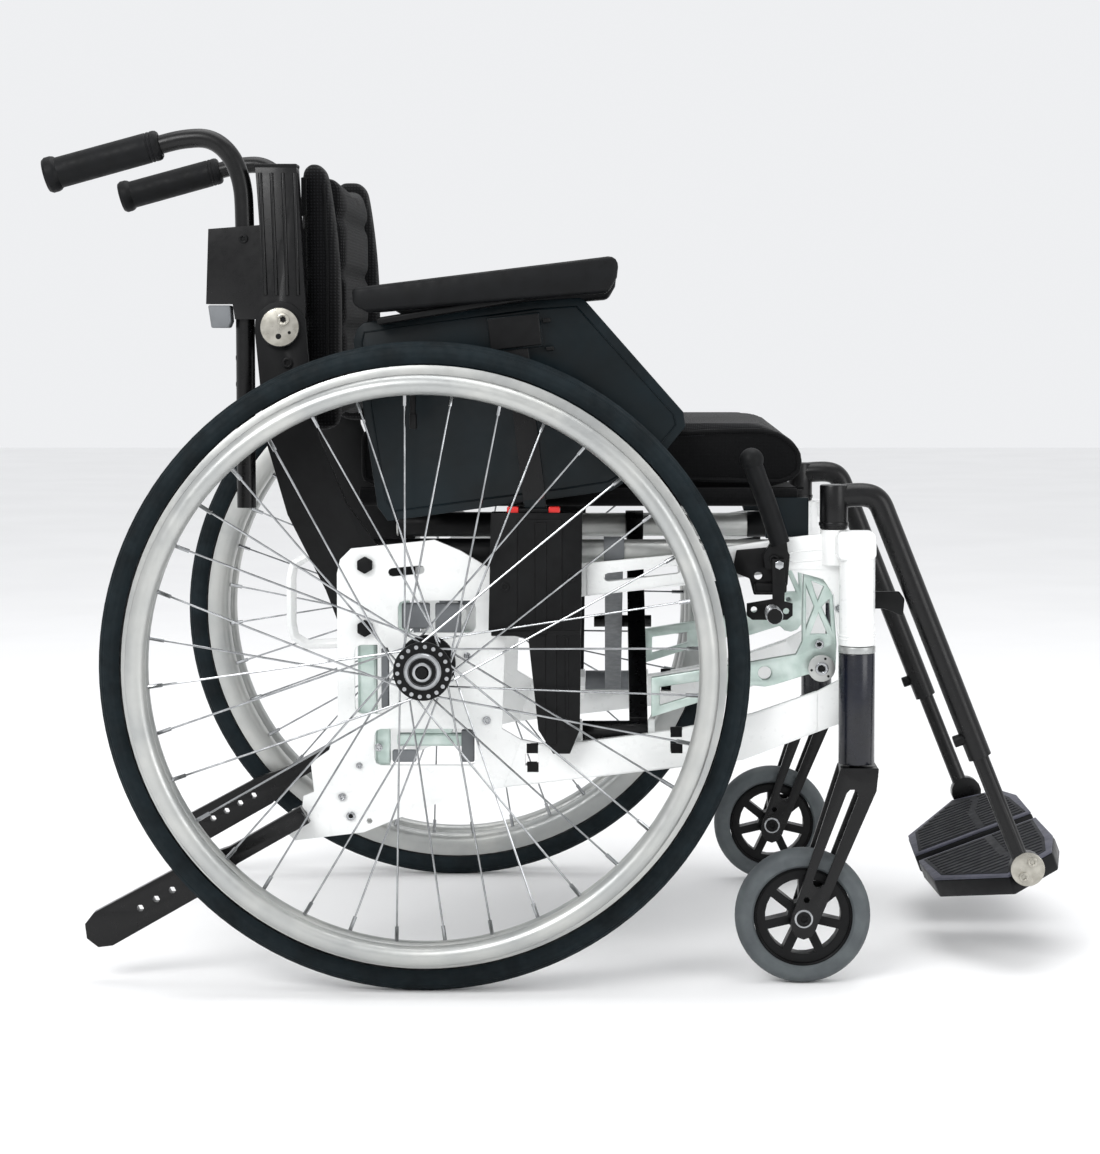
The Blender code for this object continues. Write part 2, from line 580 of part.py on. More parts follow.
# ---- armrest ----
def armrest(side):
    pad = [(-0.0655, 0.638), (0.170, 0.667), (0.1755, 0.661), (0.174, 0.648), (0.166, 0.634),
           (-0.052, 0.6155)]
    pad += [(-0.065, 0.623)]
    cushion = flat("t", pad, side * 0.2105, side * 0.2655)
    finish(bevel(cushion, 0.004, 2), named("armrest_pad", side), GRIP)

    top = [(-0.0635, 0.601), (-0.057, 0.607), (0.0996, 0.6270), (0.140, 0.6295), (0.146, 0.626),
           (0.235, 0.525)]
    front = [(0.237, 0.512), (0.220, 0.491), (0.182, 0.461), (0.169, 0.453), (0.123, 0.4465), (0.072, 0.4400)]
    rear = [(-0.036, 0.425), (-0.0455, 0.438), (-0.053, 0.491), (-0.067, 0.590)]
    panel = flat("t", top + front + rear, side * 0.2300, side * 0.2345)
    lean = Matrix.Translation(world(POST_FOOT[0], side * POST_Y, POST_FOOT[1])) @ Matrix.Rotation(-ARM_LEAN,
                                                                                                  4, "Y")

    def upright(x0, x1, y0, y1, z0, z1):
        """A box in the leaning frame of the post, from the middle of the socket's mouth."""
        bar = block("t", (x0, y0, z0), (x1, y1, z1))
        middle = bar.matrix_world.translation - world(0, 0, 0)
        bar.matrix_world = lean @ Matrix.Translation(middle)
        return bar

    post = upright(-POST_HALF, POST_HALF, -0.004, 0.004, -0.130, 0.180)
    clip = upright(-0.024, 0.024, *sorted((-side * 0.003, side * 0.008)), 0.150, 0.181)
    finish(join(panel, post, clip), named("side_panel", side), PANEL)

    box = [(0.0565, 0.3250), (0.0590, 0.4335), (0.1425, 0.4335), (0.1415, 0.3300), (0.1400, 0.2338),
           (0.1310, 0.2120)]
    box += [(0.1156, 0.2120), (0.1020, 0.2340), (0.0930, 0.3180)]
    socket = flat("t", box, side * 0.2270, side * 0.2475)
    bore = upright(-POST_HALF - 0.0006, POST_HALF + 0.0006, -0.0046, 0.0046, -0.160, 0.02)
    pocket = block("t", (0.0715, side * 0.2340, 0.4280), (0.1240, side * 0.2466, 0.4400))
    finish(cut(socket, bore, pocket), named("armrest_socket", side), NYLON)

    bridge = block("t", (0.0735, side * 0.2418, 0.4320), (0.1220, side * 0.2462, 0.4375))
    pads = [
        block("t", (x, side * 0.2352, 0.4317), (x + 0.0105, side * 0.2459, 0.4388))
        for x in (0.0738, 0.1112)
    ]
    finish(join(bridge, *pads), named("armrest_release", side), RED)


# ---- back ----
def back(side):
    lower = arc(BACK_PIVOT, 0.0215, 180, 360, 7)
    outline = lower + [(-0.1130, 0.6230), (-0.1205, 0.7500), (-0.1585, 0.7500), (-0.1500, 0.6230)]
    cane = flat("t", outline, side * 0.1900, side * 0.2130, (), BACK_PIVOT)
    box = flat("t", [(-0.2045, 0.6240), (-0.1800, 0.6240), (-0.1780, 0.6100), (-0.1480, 0.6100),
                     (-0.1500, 0.6970),
                     (-0.2020, 0.6930)], side * 0.1880, side * 0.2128)
    pin = rod("t", (BACK_PIVOT[0], side * 0.210, BACK_PIVOT[1]),
              (BACK_PIVOT[0], side * 0.222, BACK_PIVOT[1]), 0.006)
    disc = rod("t", (BACK_PIVOT[0], side * 0.2195, BACK_PIVOT[1]),
               (BACK_PIVOT[0], side * 0.2255, BACK_PIVOT[1]),
               0.0185, 20)
    join(cane, box, pin, disc)
    y = side * HANDLE_Y
    cut(cane, rod("t", (HANDLE_X, y, 0.600), (HANDLE_X, y, 0.705), 0.0095, 16))
    finish(cane, named("back_cane", side), BLACK_COAT)

    rise = [(HANDLE_X, y, 0.435), (HANDLE_X, y, 0.716)]
    start, end = Vector((-0.248, y, 0.771)), Vector((-0.3537, y, 0.742))
    over = [(-0.1745, y, 0.7400), (-0.1850, y, 0.7600), (-0.2010, y, 0.7725), (-0.2220, y, 0.7755)]
    run = (end - start).normalized()
    pipe = tube("t", [*rise, *over, start, start + run * 0.100], 0.0088, 12)
    finish(pipe, named("handle_tube", side), BLACK_COAT)

    sleeve = [(0.0092, 0.0), (0.0092, 0.102), (0, 0.102), (0, 0.1096), (0.0150, 0.1096), (0.0168, 0.106)]
    sleeve += [(0.0165, 0.098), (0.0140, 0.094), (0.0140, 0.002), (0.0125, 0.0)]
    closed = sleeve[2:] + sleeve[:2]
    grip = turned("t", [*closed, (0, 0.102)], start, run, 12)
    finish(grip, named("handle_grip", side), GRIP)

    tab = [(-0.2030, 0.6228), (-0.1825, 0.6228), (-0.1815, 0.6080), (-0.1840, 0.6020), (-0.2000, 0.6020)]
    lever = flat("t", tab, side * 0.1900, side * 0.2120, (), CLAMP_PIVOT)
    finish(lever, named("handle_clamp", side), GREY_COAT)


def anti_tipper(side):
    root, end = Vector(TIPPER_PIVOT), Vector((-0.299, 0.049))
    run = (end - root).normalized()
    across = Vector((-run.y, run.x))
    outline = [root - run * 0.006 + across * 0.0085, root + run * 0.07 + across * 0.0085]
    outline += [root + run * 0.105 + across * 0.0175]
    outline += [end + 0.0175 * (across * cos(a) + run * sin(a)) for a in (0, pi / 4, pi / 2, 3 * pi / 4, pi)]
    outline += [root + run * 0.105 - across * 0.0150, root + run * 0.07 - across * 0.0085,
                root - run * 0.006 - across * 0.0085]
    holes = [circle(tuple(root + run * (0.118 + 0.017 * i)), 0.0035, 6) for i in range(4)]
    arm = flat("t", outline, side * 0.2322, side * 0.2440, holes, TIPPER_PIVOT)
    bolt = rod("t", (root.x, side * 0.2258, root.y), (root.x, side * 0.2480, root.y), 0.006, 8)
    finish(join(arm, bolt), named("anti_tipper", side), BLACK_COAT)


# ---- upholstery ----
def upholstery():
    seat = bevel(block("t", (-0.068, -0.205, 0.4440), (0.352, 0.205, 0.512)), 0.012, 2)
    finish(seat, "seat_cushion", FABRIC)
    side_view = [(-0.118, 0.500), (-0.074, 0.500), (-0.072, 0.735), (-0.082, 0.758), (-0.108, 0.758),
                 (-0.1190, 0.745)]
    pad = flat("t", side_view, -0.187, 0.187)
    finish(bevel(pad, 0.008, 2), "back_upholstery", FABRIC)


for side in (-1, 1):
    rear_wheel(side)
    caster(side)
    side_frame(side)
    lattice_bracket(side)
    back_bracket(side)
    seat_rail(side)
    brake(side)
    footrest(side)
    armrest(side)
    back(side)
    anti_tipper(side)
cross_arm(-1, ARM_FRONT_X, BLACK_COAT)
cross_arm(1, ARM_REAR_X, GREY_COAT)
upholstery()
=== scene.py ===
import math
import bpy
import bmesh
from mathutils import Matrix, Vector


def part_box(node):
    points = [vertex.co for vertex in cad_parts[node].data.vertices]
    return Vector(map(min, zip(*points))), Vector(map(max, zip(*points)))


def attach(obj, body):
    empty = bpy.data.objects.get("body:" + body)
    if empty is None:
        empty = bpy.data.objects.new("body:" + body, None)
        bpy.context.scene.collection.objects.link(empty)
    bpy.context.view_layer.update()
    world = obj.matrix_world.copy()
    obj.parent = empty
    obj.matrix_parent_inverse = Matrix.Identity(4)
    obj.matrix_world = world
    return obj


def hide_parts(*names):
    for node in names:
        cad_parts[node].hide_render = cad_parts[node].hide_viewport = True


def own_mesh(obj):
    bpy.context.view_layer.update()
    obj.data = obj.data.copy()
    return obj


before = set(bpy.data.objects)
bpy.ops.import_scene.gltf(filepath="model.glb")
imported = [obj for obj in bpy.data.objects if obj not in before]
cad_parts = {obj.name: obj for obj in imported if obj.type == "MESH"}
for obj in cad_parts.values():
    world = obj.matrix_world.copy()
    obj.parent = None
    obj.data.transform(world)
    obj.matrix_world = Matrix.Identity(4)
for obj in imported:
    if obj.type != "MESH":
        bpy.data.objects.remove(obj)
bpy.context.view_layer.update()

tyreLow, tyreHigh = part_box("rear_tyre_right")
axleX = (tyreLow[0] + tyreHigh[0]) / 2
axleZ = (tyreLow[2] + tyreHigh[2]) / 2
wheelY = abs(tyreLow[1] + tyreHigh[1]) / 2


# Place on the chair, with x counted from the rear axle.
def fromAxle(x, y, z):
    return Vector((axleX + x, y, z))


# camera
cameraSet = {"lens": 86.57, "shiftX": -0.0480, "shiftY": -0.0828, "place": (0.1635, -2.775, 0.5946),
             "downDeg": 3.0}
cameraData = bpy.data.cameras.new("camera")
cameraData.lens = cameraSet["lens"]
cameraData.shift_x, cameraData.shift_y = cameraSet["shiftX"], cameraSet["shiftY"]
camera = bpy.data.objects.new("camera", cameraData)
bpy.context.scene.collection.objects.link(camera)
camera.location = fromAxle(*cameraSet["place"])
camera.rotation_euler = (math.radians(90 - cameraSet["downDeg"]), 0, 0)
bpy.context.scene.camera = camera
print("camera placed")


# small tools
def clearSelection():
    bpy.ops.object.select_all(action="DESELECT")


def pick(obj):
    clearSelection()
    obj.select_set(True)
    bpy.context.view_layer.objects.active = obj


# Moves the object's place into its mesh.
def settle(obj):
    pick(obj)
    bpy.ops.object.transform_apply(location=True, rotation=True, scale=True)
    return obj


def tidyMesh(obj, smooth=32):
    pick(obj)
    bpy.ops.object.mode_set(mode="EDIT")
    bpy.ops.mesh.select_all(action="SELECT")
    bpy.ops.mesh.remove_doubles(threshold=0.00002)
    bpy.ops.mesh.normals_make_consistent(inside=False)
    bpy.ops.object.mode_set(mode="OBJECT")
    if smooth:
        bpy.ops.object.shade_smooth_by_angle(angle=math.radians(smooth))
    return obj


def applyAll(obj):
    pick(obj)
    for modifier in list(obj.modifiers):
        bpy.ops.object.modifier_apply(modifier=modifier.name)
    return obj


def dress(obj, look, body, name=None):
    if name:
        obj.name = name
        obj.data.name = name
    obj.data.materials.clear()
    obj.data.materials.append(look)
    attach(obj, body)
    return obj


def joinAll(parts, name):
    clearSelection()
    for part in parts:
        part.select_set(True)
    bpy.context.view_layer.objects.active = parts[0]
    if len(parts) > 1:
        bpy.ops.object.join()
    parts[0].name = name
    return parts[0]


# A closed profile of (radius, distance along Y) spun about the wheel's axle.
def ring(name, profile, centre, steps, axis=(0, 1, 0)):
    clearSelection()
    bpy.ops.mesh.primitive_circle_add(vertices=len(profile), radius=1)
    spun = bpy.context.object
    spun.name = name
    for vertex, (radius, along) in zip(spun.data.vertices, profile):
        vertex.co = Vector(centre) + Vector((radius, along, 0))
    bpy.ops.object.mode_set(mode="EDIT")
    bpy.ops.mesh.select_all(action="SELECT")
    bpy.ops.mesh.spin(steps=steps, angle=2 * math.pi, center=centre, axis=axis)
    bpy.ops.object.mode_set(mode="OBJECT")
    return tidyMesh(spun)


# A round bar between two points, with eased ends.
def bar(name, start, end, radius, sides=12, bevel=0.0):
    start, end = Vector(start), Vector(end)
    clearSelection()
    bpy.ops.mesh.primitive_cylinder_add(vertices=sides, radius=radius, depth=(end - start).length,
                                        location=(start + end) / 2)
    rod = bpy.context.object
    rod.name = name
    rod.rotation_mode = "QUATERNION"
    rod.rotation_quaternion = Vector((0, 0, 1)).rotation_difference(end - start)
    settle(rod)
    if bevel:
        easeEdges(rod, bevel)
    pick(rod)
    bpy.ops.object.shade_smooth_by_angle(angle=math.radians(40))
    return rod


def easeEdges(obj, width, segments=2, angle=35):
    edge = obj.modifiers.new("edges", "BEVEL")
    edge.width, edge.segments = width, segments
    edge.limit_method, edge.angle_limit = "ANGLE", math.radians(angle)
    edge.use_clamp_overlap = True
    return applyAll(obj)


# A bent tube through points, closed at its ends.
def pipe(name, points, radius, sides=16, smoothSteps=6):
    curve = bpy.data.curves.new(name, "CURVE")
    curve.dimensions, curve.bevel_depth = "3D", radius
    curve.bevel_resolution, curve.use_fill_caps = sides // 2 - 2, True
    curve.resolution_u = smoothSteps
    spline = curve.splines.new("NURBS")
    spline.points.add(len(points) - 1)
    for point, place in zip(spline.points, points):
        point.co = (*place, 1)
    spline.order_u, spline.use_endpoint_u = 3, True
    bent = bpy.data.objects.new(name, curve)
    bpy.context.scene.collection.objects.link(bent)
    pick(bent)
    bpy.ops.object.convert(target="MESH")
    return tidyMesh(bpy.context.object, 40)


# A copy of a CAD solid with eased edges, which stands for it.
def polished(node, look, body, width=0.0012, segments=2, angle=35, keepName=None):
    source = bpy.data.objects[node]
    copy = source.copy()
    copy.data = source.data.copy()
    copy.name = keepName or f"{node}_finished"
    bpy.context.scene.collection.objects.link(copy)
    pick(copy)
    bpy.ops.object.mode_set(mode="EDIT")
    bpy.ops.mesh.select_all(action="SELECT")
    bpy.ops.mesh.remove_doubles(threshold=0.00001)
    bpy.ops.mesh.dissolve_limited(angle_limit=math.radians(1.5))
    bpy.ops.object.mode_set(mode="OBJECT")
    easeEdges(copy, width, segments, angle)
    bpy.ops.object.shade_smooth_by_angle(angle=math.radians(32))
    dress(copy, look, body)
    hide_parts(node)
    return copy


sides = {"right": -1, "left": 1}


# materials
def linear(hexColour):
    parts = [int(hexColour[i:i + 2], 16) / 255 for i in (1, 3, 5)]
    return (*[c / 12.92 if c <= 0.04045 else ((c + 0.055) / 1.055) ** 2.4 for c in parts], 1)


def addNode(tree, kind, settings=None, **inputs):
    node = tree.nodes.new(kind)
    for key, value in (settings or {}).items():
        setattr(node, key, value)
    for key, value in inputs.items():
        byNumber = key[0] == "i" and key[1:].isdigit()
        socket = node.inputs[int(key[1:]) if byNumber else key.replace("_", " ")]
        if isinstance(value, bpy.types.NodeSocket):
            tree.links.new(value, socket)
        else:
            socket.default_value = value
    return node


def spread(tree, factor, low, high, lowAt=0.35, highAt=0.65):
    return addNode(tree, "ShaderNodeMapRange", i0=factor, i1=lowAt, i2=highAt, i3=low, i4=high).outputs[0]


def ramp(tree, factor, colours, places=None):
    node = addNode(tree, "ShaderNodeValToRGB", i0=factor)
    places = places or [0.35 + 0.3 * i / (len(colours) - 1) for i in range(len(colours))]
    while len(node.color_ramp.elements) < len(colours):
        node.color_ramp.elements.new(0.5)
    for stop, place, colour in zip(node.color_ramp.elements, places, colours):
        stop.position, stop.color = place, linear(colour)
    return node.outputs[0]


def newMaterial(name):
    look = bpy.data.materials.new(name)
    look.use_nodes = True
    tree = look.node_tree
    tree.nodes.clear()
    out = tree.nodes.new("ShaderNodeOutputMaterial")
    shader = tree.nodes.new("ShaderNodeBsdfPrincipled")
    tree.links.new(shader.outputs[0], out.inputs[0])
    place = tree.nodes.new("ShaderNodeTexCoord").outputs["Object"]
    return look, tree, shader, place


def noise(tree, place, sizeMm, detail=3, rough=0.5, stretch=None):
    if stretch:
        place = addNode(tree, "ShaderNodeMapping", i0=place, Scale=stretch).outputs[0]
    return addNode(tree, "ShaderNodeTexNoise", i0=place, Scale=1000 / sizeMm, Detail=detail,
                   Roughness=rough).outputs[0]


# A finish from two close colours, a roughness range and a grain height, sizes in millimetres.
def finish(name, colours, rough, patchMm=30, grainMm=1.2, grainHeight=0.03, metallic=0, coat=0, coatRough=0.1,
           specular=0.5, stretch=None, wearMm=7, sheen=0):
    look, tree, shader, place = newMaterial(name)
    tree.links.new(ramp(tree, noise(tree, place, patchMm, 4), colours), shader.inputs["Base Color"])
    tree.links.new(spread(tree, noise(tree, place, wearMm, 5, stretch=stretch), *rough),
                   shader.inputs["Roughness"])
    grain = noise(tree, place, grainMm, 2, stretch=stretch)
    bump = addNode(tree, "ShaderNodeBump", Strength=1, Distance=grainHeight / 1000, Height=grain)
    tree.links.new(bump.outputs[0], shader.inputs["Normal"])
    shader.inputs["Metallic"].default_value = metallic
    shader.inputs["Coat Weight"].default_value = coat
    shader.inputs["Coat Roughness"].default_value = coatRough
    shader.inputs["Sheen Weight"].default_value = sheen
    if not metallic:
        shader.inputs["Specular IOR Level"].default_value = specular
    return look


looks = {}
# glossy white powder coat: clean highlights that break up slightly in an orange peel
looks["whiteFrame"] = finish("whitePowderCoatGloss", ["#E6E8E7", "#F1F2F1"], (0.26, 0.38), 60, 1.6, 0.010,
                             coat=0.35)
# satin black powder coat: soft long highlights along the tubes
looks["blackFrame"] = finish("blackPowderCoatSatin", ["#060607", "#0A0A0B"], (0.26, 0.36), 40, 1.1, 0.014,
                             coat=0.03, coatRough=0.1, specular=0.28)
# matte black for steel pressings and bolts
looks["blackPressing"] = finish("blackZincMatte", ["#060607", "#0B0C0D"], (0.40, 0.55), 20, 0.8, 0.02,
                                specular=0.18)
# near-black navy anodising: a soft sheen, blue only where light grazes it
looks["navy"] = finish("navyAnodisedSatin", ["#04060E", "#080C1A"], (0.20, 0.30), 40, 0.9, 0.006, coat=0.1,
                       specular=0.45)
# tumbled aluminium casting with a faint green cast and a pebbled skin
looks["mintCasting"] = finish("castAluminiumMint", ["#B2C3BC", "#CCD8D3"], (0.34, 0.50), 18, 0.9, 0.05,
                              metallic=0.6)
# satin anodised aluminium: cool, even, slightly brushed
looks["satinAluminium"] = finish("anodisedAluminiumSatin", ["#A6A8A7", "#B8B9B6"], (0.30, 0.42), 50, 0.6,
                                 0.008,
                                 metallic=0.7)
# bright stainless: sharp small highlights on spokes, pins and screws
looks["steel"] = finish("stainlessSteelPolished", ["#96989A", "#B0B2B4"], (0.14, 0.26), 12, 0.5, 0.004,
                        metallic=1)
# machined zinc face with fine turning marks
looks["machined"] = finish("machinedZincSatin", ["#98958C", "#B0ADA4"], (0.26, 0.40), 8, 0.35, 0.012,
                           metallic=0.9)
# grey painted steel, dull; on the axle clamps and webs the same darker grey is also painted shade for the
# shadow behind the rear plate
looks["greyPaintAndShade"] = finish("paintedGreySteelAndShadeMatte", ["#5E6164", "#6C6F72"], (0.45, 0.6), 30, 1.0, 0.02)
# tyre rubber: blue-black, dusty where it is rough
looks["tyre"] = finish("tyreRubberMatte", ["#0E1518", "#151E22"], (0.58, 0.78), 25, 0.9, 0.05, specular=0.14)
# grey moulded polyurethane of the casters
looks["casterTyre"] = finish("polyurethaneGreyMatte", ["#42474A", "#4E5456"], (0.55, 0.72), 20, 0.9, 0.03)
# soft black grip rubber, fine pores
looks["grip"] = finish("gripRubberSoftTouch", ["#08090A", "#0E0F11"], (0.45, 0.62), 14, 0.7, 0.04,
                       specular=0.16)
# glass-filled nylon: slightly grained, half matt
looks["nylon"] = finish("glassFilledNylonBlack", ["#050506", "#0A0B0C"], (0.34, 0.50), 16, 0.8, 0.03,
                        specular=0.18)
# textured panel plastic with a petrol tint
looks["panel"] = finish("panelPlasticDark", ["#050D10", "#08151A"], (0.28, 0.40), 60, 1.3, 0.012,
                        specular=0.2)
# red moulded button
looks["red"] = finish("redPlasticGloss", ["#C11612", "#D6231C"], (0.22, 0.34), 6, 0.8, 0.01)
# lavender-grey moulded nylon of the footplate surround
looks["plateEdge"] = finish("footplateNylonLavender", ["#3C3D48", "#494A57"], (0.5, 0.65), 22, 1.0, 0.05)
# dark ribbed mat and black underside of the footplate
looks["plateMat"] = finish("footplateMatDark", ["#17181B", "#222327"], (0.6, 0.78), 14, 0.9, 0.05,
                           specular=0.25)
looks["plateSide"] = finish("footplateNylonBlack", ["#060608", "#0B0C0E"], (0.36, 0.48), 25, 1.0, 0.03,
                            specular=0.2)


# Two crossing thread waves, pitch in millimetres, over a darker ground.
def woven(name, thread, ground, pitchMm, height, rough, sheen=0.25, planes="XY"):
    look, tree, shader, place = newMaterial(name)
    drift = addNode(tree, "ShaderNodeTexNoise", i0=place, Scale=55, Detail=2)
    moved = addNode(tree, "ShaderNodeVectorMath", {"operation": "SCALE"}, i0=drift.outputs[1], Scale=0.0006)
    moved = addNode(tree, "ShaderNodeVectorMath", {"operation": "ADD"}, i0=place, i1=moved.outputs[0])
    waves = []
    for direction in planes:
        waves.append(addNode(tree, "ShaderNodeTexWave", {"bands_direction": direction, "wave_profile": "SIN"},
                             i0=moved.outputs[0], Scale=1000 / pitchMm / 3.18, Distortion=0.6,
                             Detail=1).outputs[1])
    cross = addNode(tree, "ShaderNodeMath", {"operation": "MULTIPLY"}, i0=waves[0], i1=waves[1]).outputs[0]
    fuzz = noise(tree, place, 0.9, 4)
    both = addNode(tree, "ShaderNodeMath", {"operation": "MULTIPLY_ADD"}, i0=fuzz, i1=0.45,
                   i2=cross).outputs[0]
    tree.links.new(ramp(tree, both, [ground, thread], [0.25, 0.95]), shader.inputs["Base Color"])
    bump = addNode(tree, "ShaderNodeBump", Strength=1, Distance=height / 1000, Height=both)
    tree.links.new(bump.outputs[0], shader.inputs["Normal"])
    tree.links.new(spread(tree, fuzz, *rough), shader.inputs["Roughness"])
    shader.inputs["Sheen Weight"].default_value = sheen
    shader.inputs["Sheen Roughness"].default_value = 0.4
    shader.inputs["Specular IOR Level"].default_value = 0.12
    return look


# charcoal cushion cover: a fine matte knit, lighter than the border
looks["coverTop"] = woven("wovenCharcoalCover", "#1C1D20", "#0A0A0B", 1.7, 0.3, (0.8, 0.95), 0.12)
# black border and sling cloth
looks["coverSide"] = woven("wovenBlackBorder", "#0F1011", "#050506", 1.3, 0.25, (0.78, 0.92), 0.05, "XZ")
# open spacer mesh on the backrest: small dark holes in a soft face
looks["mesh"] = woven("spacerMeshBlack", "#121315", "#030304", 3.0, 0.6, (0.75, 0.9), 0.08, "YZ")
looks["sideMesh"] = woven("spacerMeshBlackSide", "#121315", "#030304", 3.0, 0.6, (0.75, 0.9), 0.08, "XZ")
# piping and straps
looks["webbing"] = woven("webbingBlack", "#131415", "#060607", 1.6, 0.3, (0.65, 0.85), 0.05, "XZ")
print("materials made")

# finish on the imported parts
nodeLooks = {
    "rear_tyre": "tyre", "rear_rim": "satinAluminium", "wheel_hub": "steel", "push_rim": "satinAluminium",
    "caster_tyre": "casterTyre", "caster_rim": "nylon", "caster_fork": "blackFrame", "caster_housing": "navy",
    "side_frame": "whiteFrame", "lattice_bracket": "mintCasting", "back_bracket": "blackPressing",
    "seat_rail": "satinAluminium", "brake_body": "blackPressing", "brake_lever": "nylon",
             "brake_shoe": "steel",
    "hanger": "blackFrame", "hanger_release": "nylon", "footrest_tube": "blackFrame",
             "footplate": "plateSide",
    "armrest_pad": "grip", "side_panel": "panel", "armrest_socket": "nylon", "armrest_release": "red",
    "back_cane": "blackFrame", "handle_tube": "blackFrame", "handle_grip": "grip",
             "handle_clamp": "greyPaintAndShade",
    "anti_tipper": "blackFrame",
}
for side in sides:
    for node, look in nodeLooks.items():
        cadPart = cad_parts[f"{node}_{side}"]
        cadPart.data.materials.clear()
        cadPart.data.materials.append(looks[look])
    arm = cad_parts[f"cross_arm_{side}"]
    arm.data.materials.clear()
    arm.data.materials.append(looks["blackFrame" if side == "right" else "greyPaintAndShade"])
for node, look in (("seat_cushion", "coverTop"), ("back_upholstery", "mesh")):
    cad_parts[node].data.materials.clear()
    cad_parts[node].data.materials.append(looks[look])
print("packed parts dressed")

# floor and light
stageSet = {"floor": 24.0, "skyStrength": 0.95, "keyPower": 56, "fillPower": 18, "topPower": 38}
bpy.ops.mesh.primitive_plane_add(size=stageSet["floor"], location=(0, 0, 0))
floor = settle(bpy.context.object)
floor.name = "floor"
# matte white sweep with a hardly visible mottling
looks["floor"] = finish("studioPaperWhite", ["#F4F4F4", "#F7F7F7"], (0.7, 0.85), 400, 3, 0.02, specular=0.2)
floor.data.materials.append(looks["floor"])
world = bpy.data.worlds.new("studio")
world.use_nodes = True
world.node_tree.nodes["Background"].inputs[0].default_value = linear("#F4F5F7")
world.node_tree.nodes["Background"].inputs[1].default_value = stageSet["skyStrength"]
bpy.context.scene.world = world
# plain display colours, so that the blacks stay black beside the white frame
bpy.context.scene.view_settings.view_transform = "Standard"


def softbox(name, place, target, size, power):
    data = bpy.data.lights.new(name, "AREA")
    data.shape, data.size, data.size_y, data.energy = "RECTANGLE", size[0], size[1], power
    box = bpy.data.objects.new(name, data)
    bpy.context.scene.collection.objects.link(box)
    box.location = place
    box.rotation_euler = (Vector(target) - Vector(place)).to_track_quat("-Z", "Y").to_euler()
    return box


lights = [
    softbox("key", (-1.4, -2.6, 2.3), (0, 0, 0.35), (1.6, 1.2), stageSet["keyPower"]),
    softbox("fill", (2.2, -1.9, 1.1), (0, 0, 0.3), (1.4, 1.4), stageSet["fillPower"]),
    softbox("top", (0.1, 0.2, 3.0), (0, 0, 0.3), (2.4, 2.0), stageSet["topPower"]),
]
print("stage lit")


# rear wheels
wheelSet = {"tyreRadius": 0.295, "tube": 0.0125, "rimOuter": 0.2735, "rimInner": 0.2505,
            "spokeRadius": 0.00095, "spokes": 36, "pushRadius": 0.2565, "pushTube": 0.0093, "steps": 128}


# tyre section with shallow tread grooves and a bead, as (radius, along) pairs
def tyreSection(ws):
    middle, points = ws["tyreRadius"] - ws["tube"], []
    for i in range(41):
        turn = math.radians(126 - 252 * i / 40)
        bulge = ws["tube"]
        ribs = abs(math.degrees(turn))
        if ribs < 52 and int((ribs + 6) / 13) % 2 == 0 and ribs > 6:
            bulge -= 0.0007
        if 84 < ribs < 92:
            bulge -= 0.0004
        points.append((middle + bulge * math.cos(turn), bulge * math.sin(turn)))
    points += [(middle - 0.0062, -0.0088), (middle - 0.0062, 0.0088)]
    return points


def placeHub(obj, out):
    for vertex in obj.data.vertices:
        vertex.co = Vector((axleX + vertex.co.x, out * (wheelY + vertex.co.y), axleZ + vertex.co.z))
    if out < 0:
        obj.data.flip_normals()
    return obj


def roundRim(ws):
    outer, inner = ws["rimOuter"], ws["rimInner"]
    half = [(outer, 0.0094), (outer - 0.003, 0.0104), (outer - 0.0095, 0.0107), (outer - 0.0155, 0.0104),
            (outer - 0.0195, 0.0085), (inner + 0.0007, 0.0052), (inner, 0.0025)]
    return half + [(r, -s) for r, s in half[::-1]]


def disc(name, radius, low, high, ease=0.0006, steps=28):
    return ring(name, [(0.0001, low), (radius - ease, low), (radius, low + ease), (radius, high - ease),
                       (radius - ease, high), (0.0001, high)], (0, 0, 0), steps)


def wheelPieces(ws):
    centre = (0, 0, 0)
    tyre = ring("tyre", tyreSection(ws), centre, ws["steps"])
    rim = ring("rim", roundRim(ws), centre, ws["steps"])
    section = [(ws["pushRadius"] + ws["pushTube"] * math.cos(math.radians(a)),
                0.035 + ws["pushTube"] * math.sin(math.radians(a))) for a in range(0, 360, 24)]
    push = ring("push", section, centre, ws["steps"])
    tabs = []
    for number in range(6):
        clearSelection()
        bpy.ops.mesh.primitive_cube_add(size=1, location=(0.2585, 0.0190, 0))
        tab = bpy.context.object
        tab.scale = (0.003, 0.0185, 0.019)
        settle(tab)
        easeEdges(tab, 0.0012)
        tab.rotation_euler = (0, -math.radians(number * 60 + 15), 0)
        tabs.append(settle(tab))
    push = joinAll([push, *tabs], "push")
    return tyre, rim, push


# spokes cross three times between the flange and the rim, each with its nipple
def spokePieces(ws):
    spokes, nipples, heads = [], [], []
    for number in range(ws["spokes"]):
        out, lead = (-1) ** number, (-1) ** (number // 2)
        rimTurn = 2 * math.pi * number / ws["spokes"] + math.radians(4)
        hubTurn = rimTurn + lead * math.radians(60)
        inner = Vector((0.0225 * math.cos(hubTurn), out * (0.029 + lead * 0.002), 0.0225 * math.sin(hubTurn)))
        outer = Vector((0.2505 * math.cos(rimTurn), out * 0.003, 0.2505 * math.sin(rimTurn)))
        along = (outer - inner).normalized()
        spokes.append(bar("spoke", inner, outer, ws["spokeRadius"], 8))
        nipples.append(bar("nipple", outer - along * 0.013, outer, 0.0019, 8))
        headIn = Vector((inner.x, out * 0.0315, inner.z))
        heads.append(bar("head", headIn, headIn + Vector((0, out * 0.0022, 0)), 0.0019, 10))
    return joinAll(spokes, "spokes"), joinAll(nipples + heads, "spokeEnds")


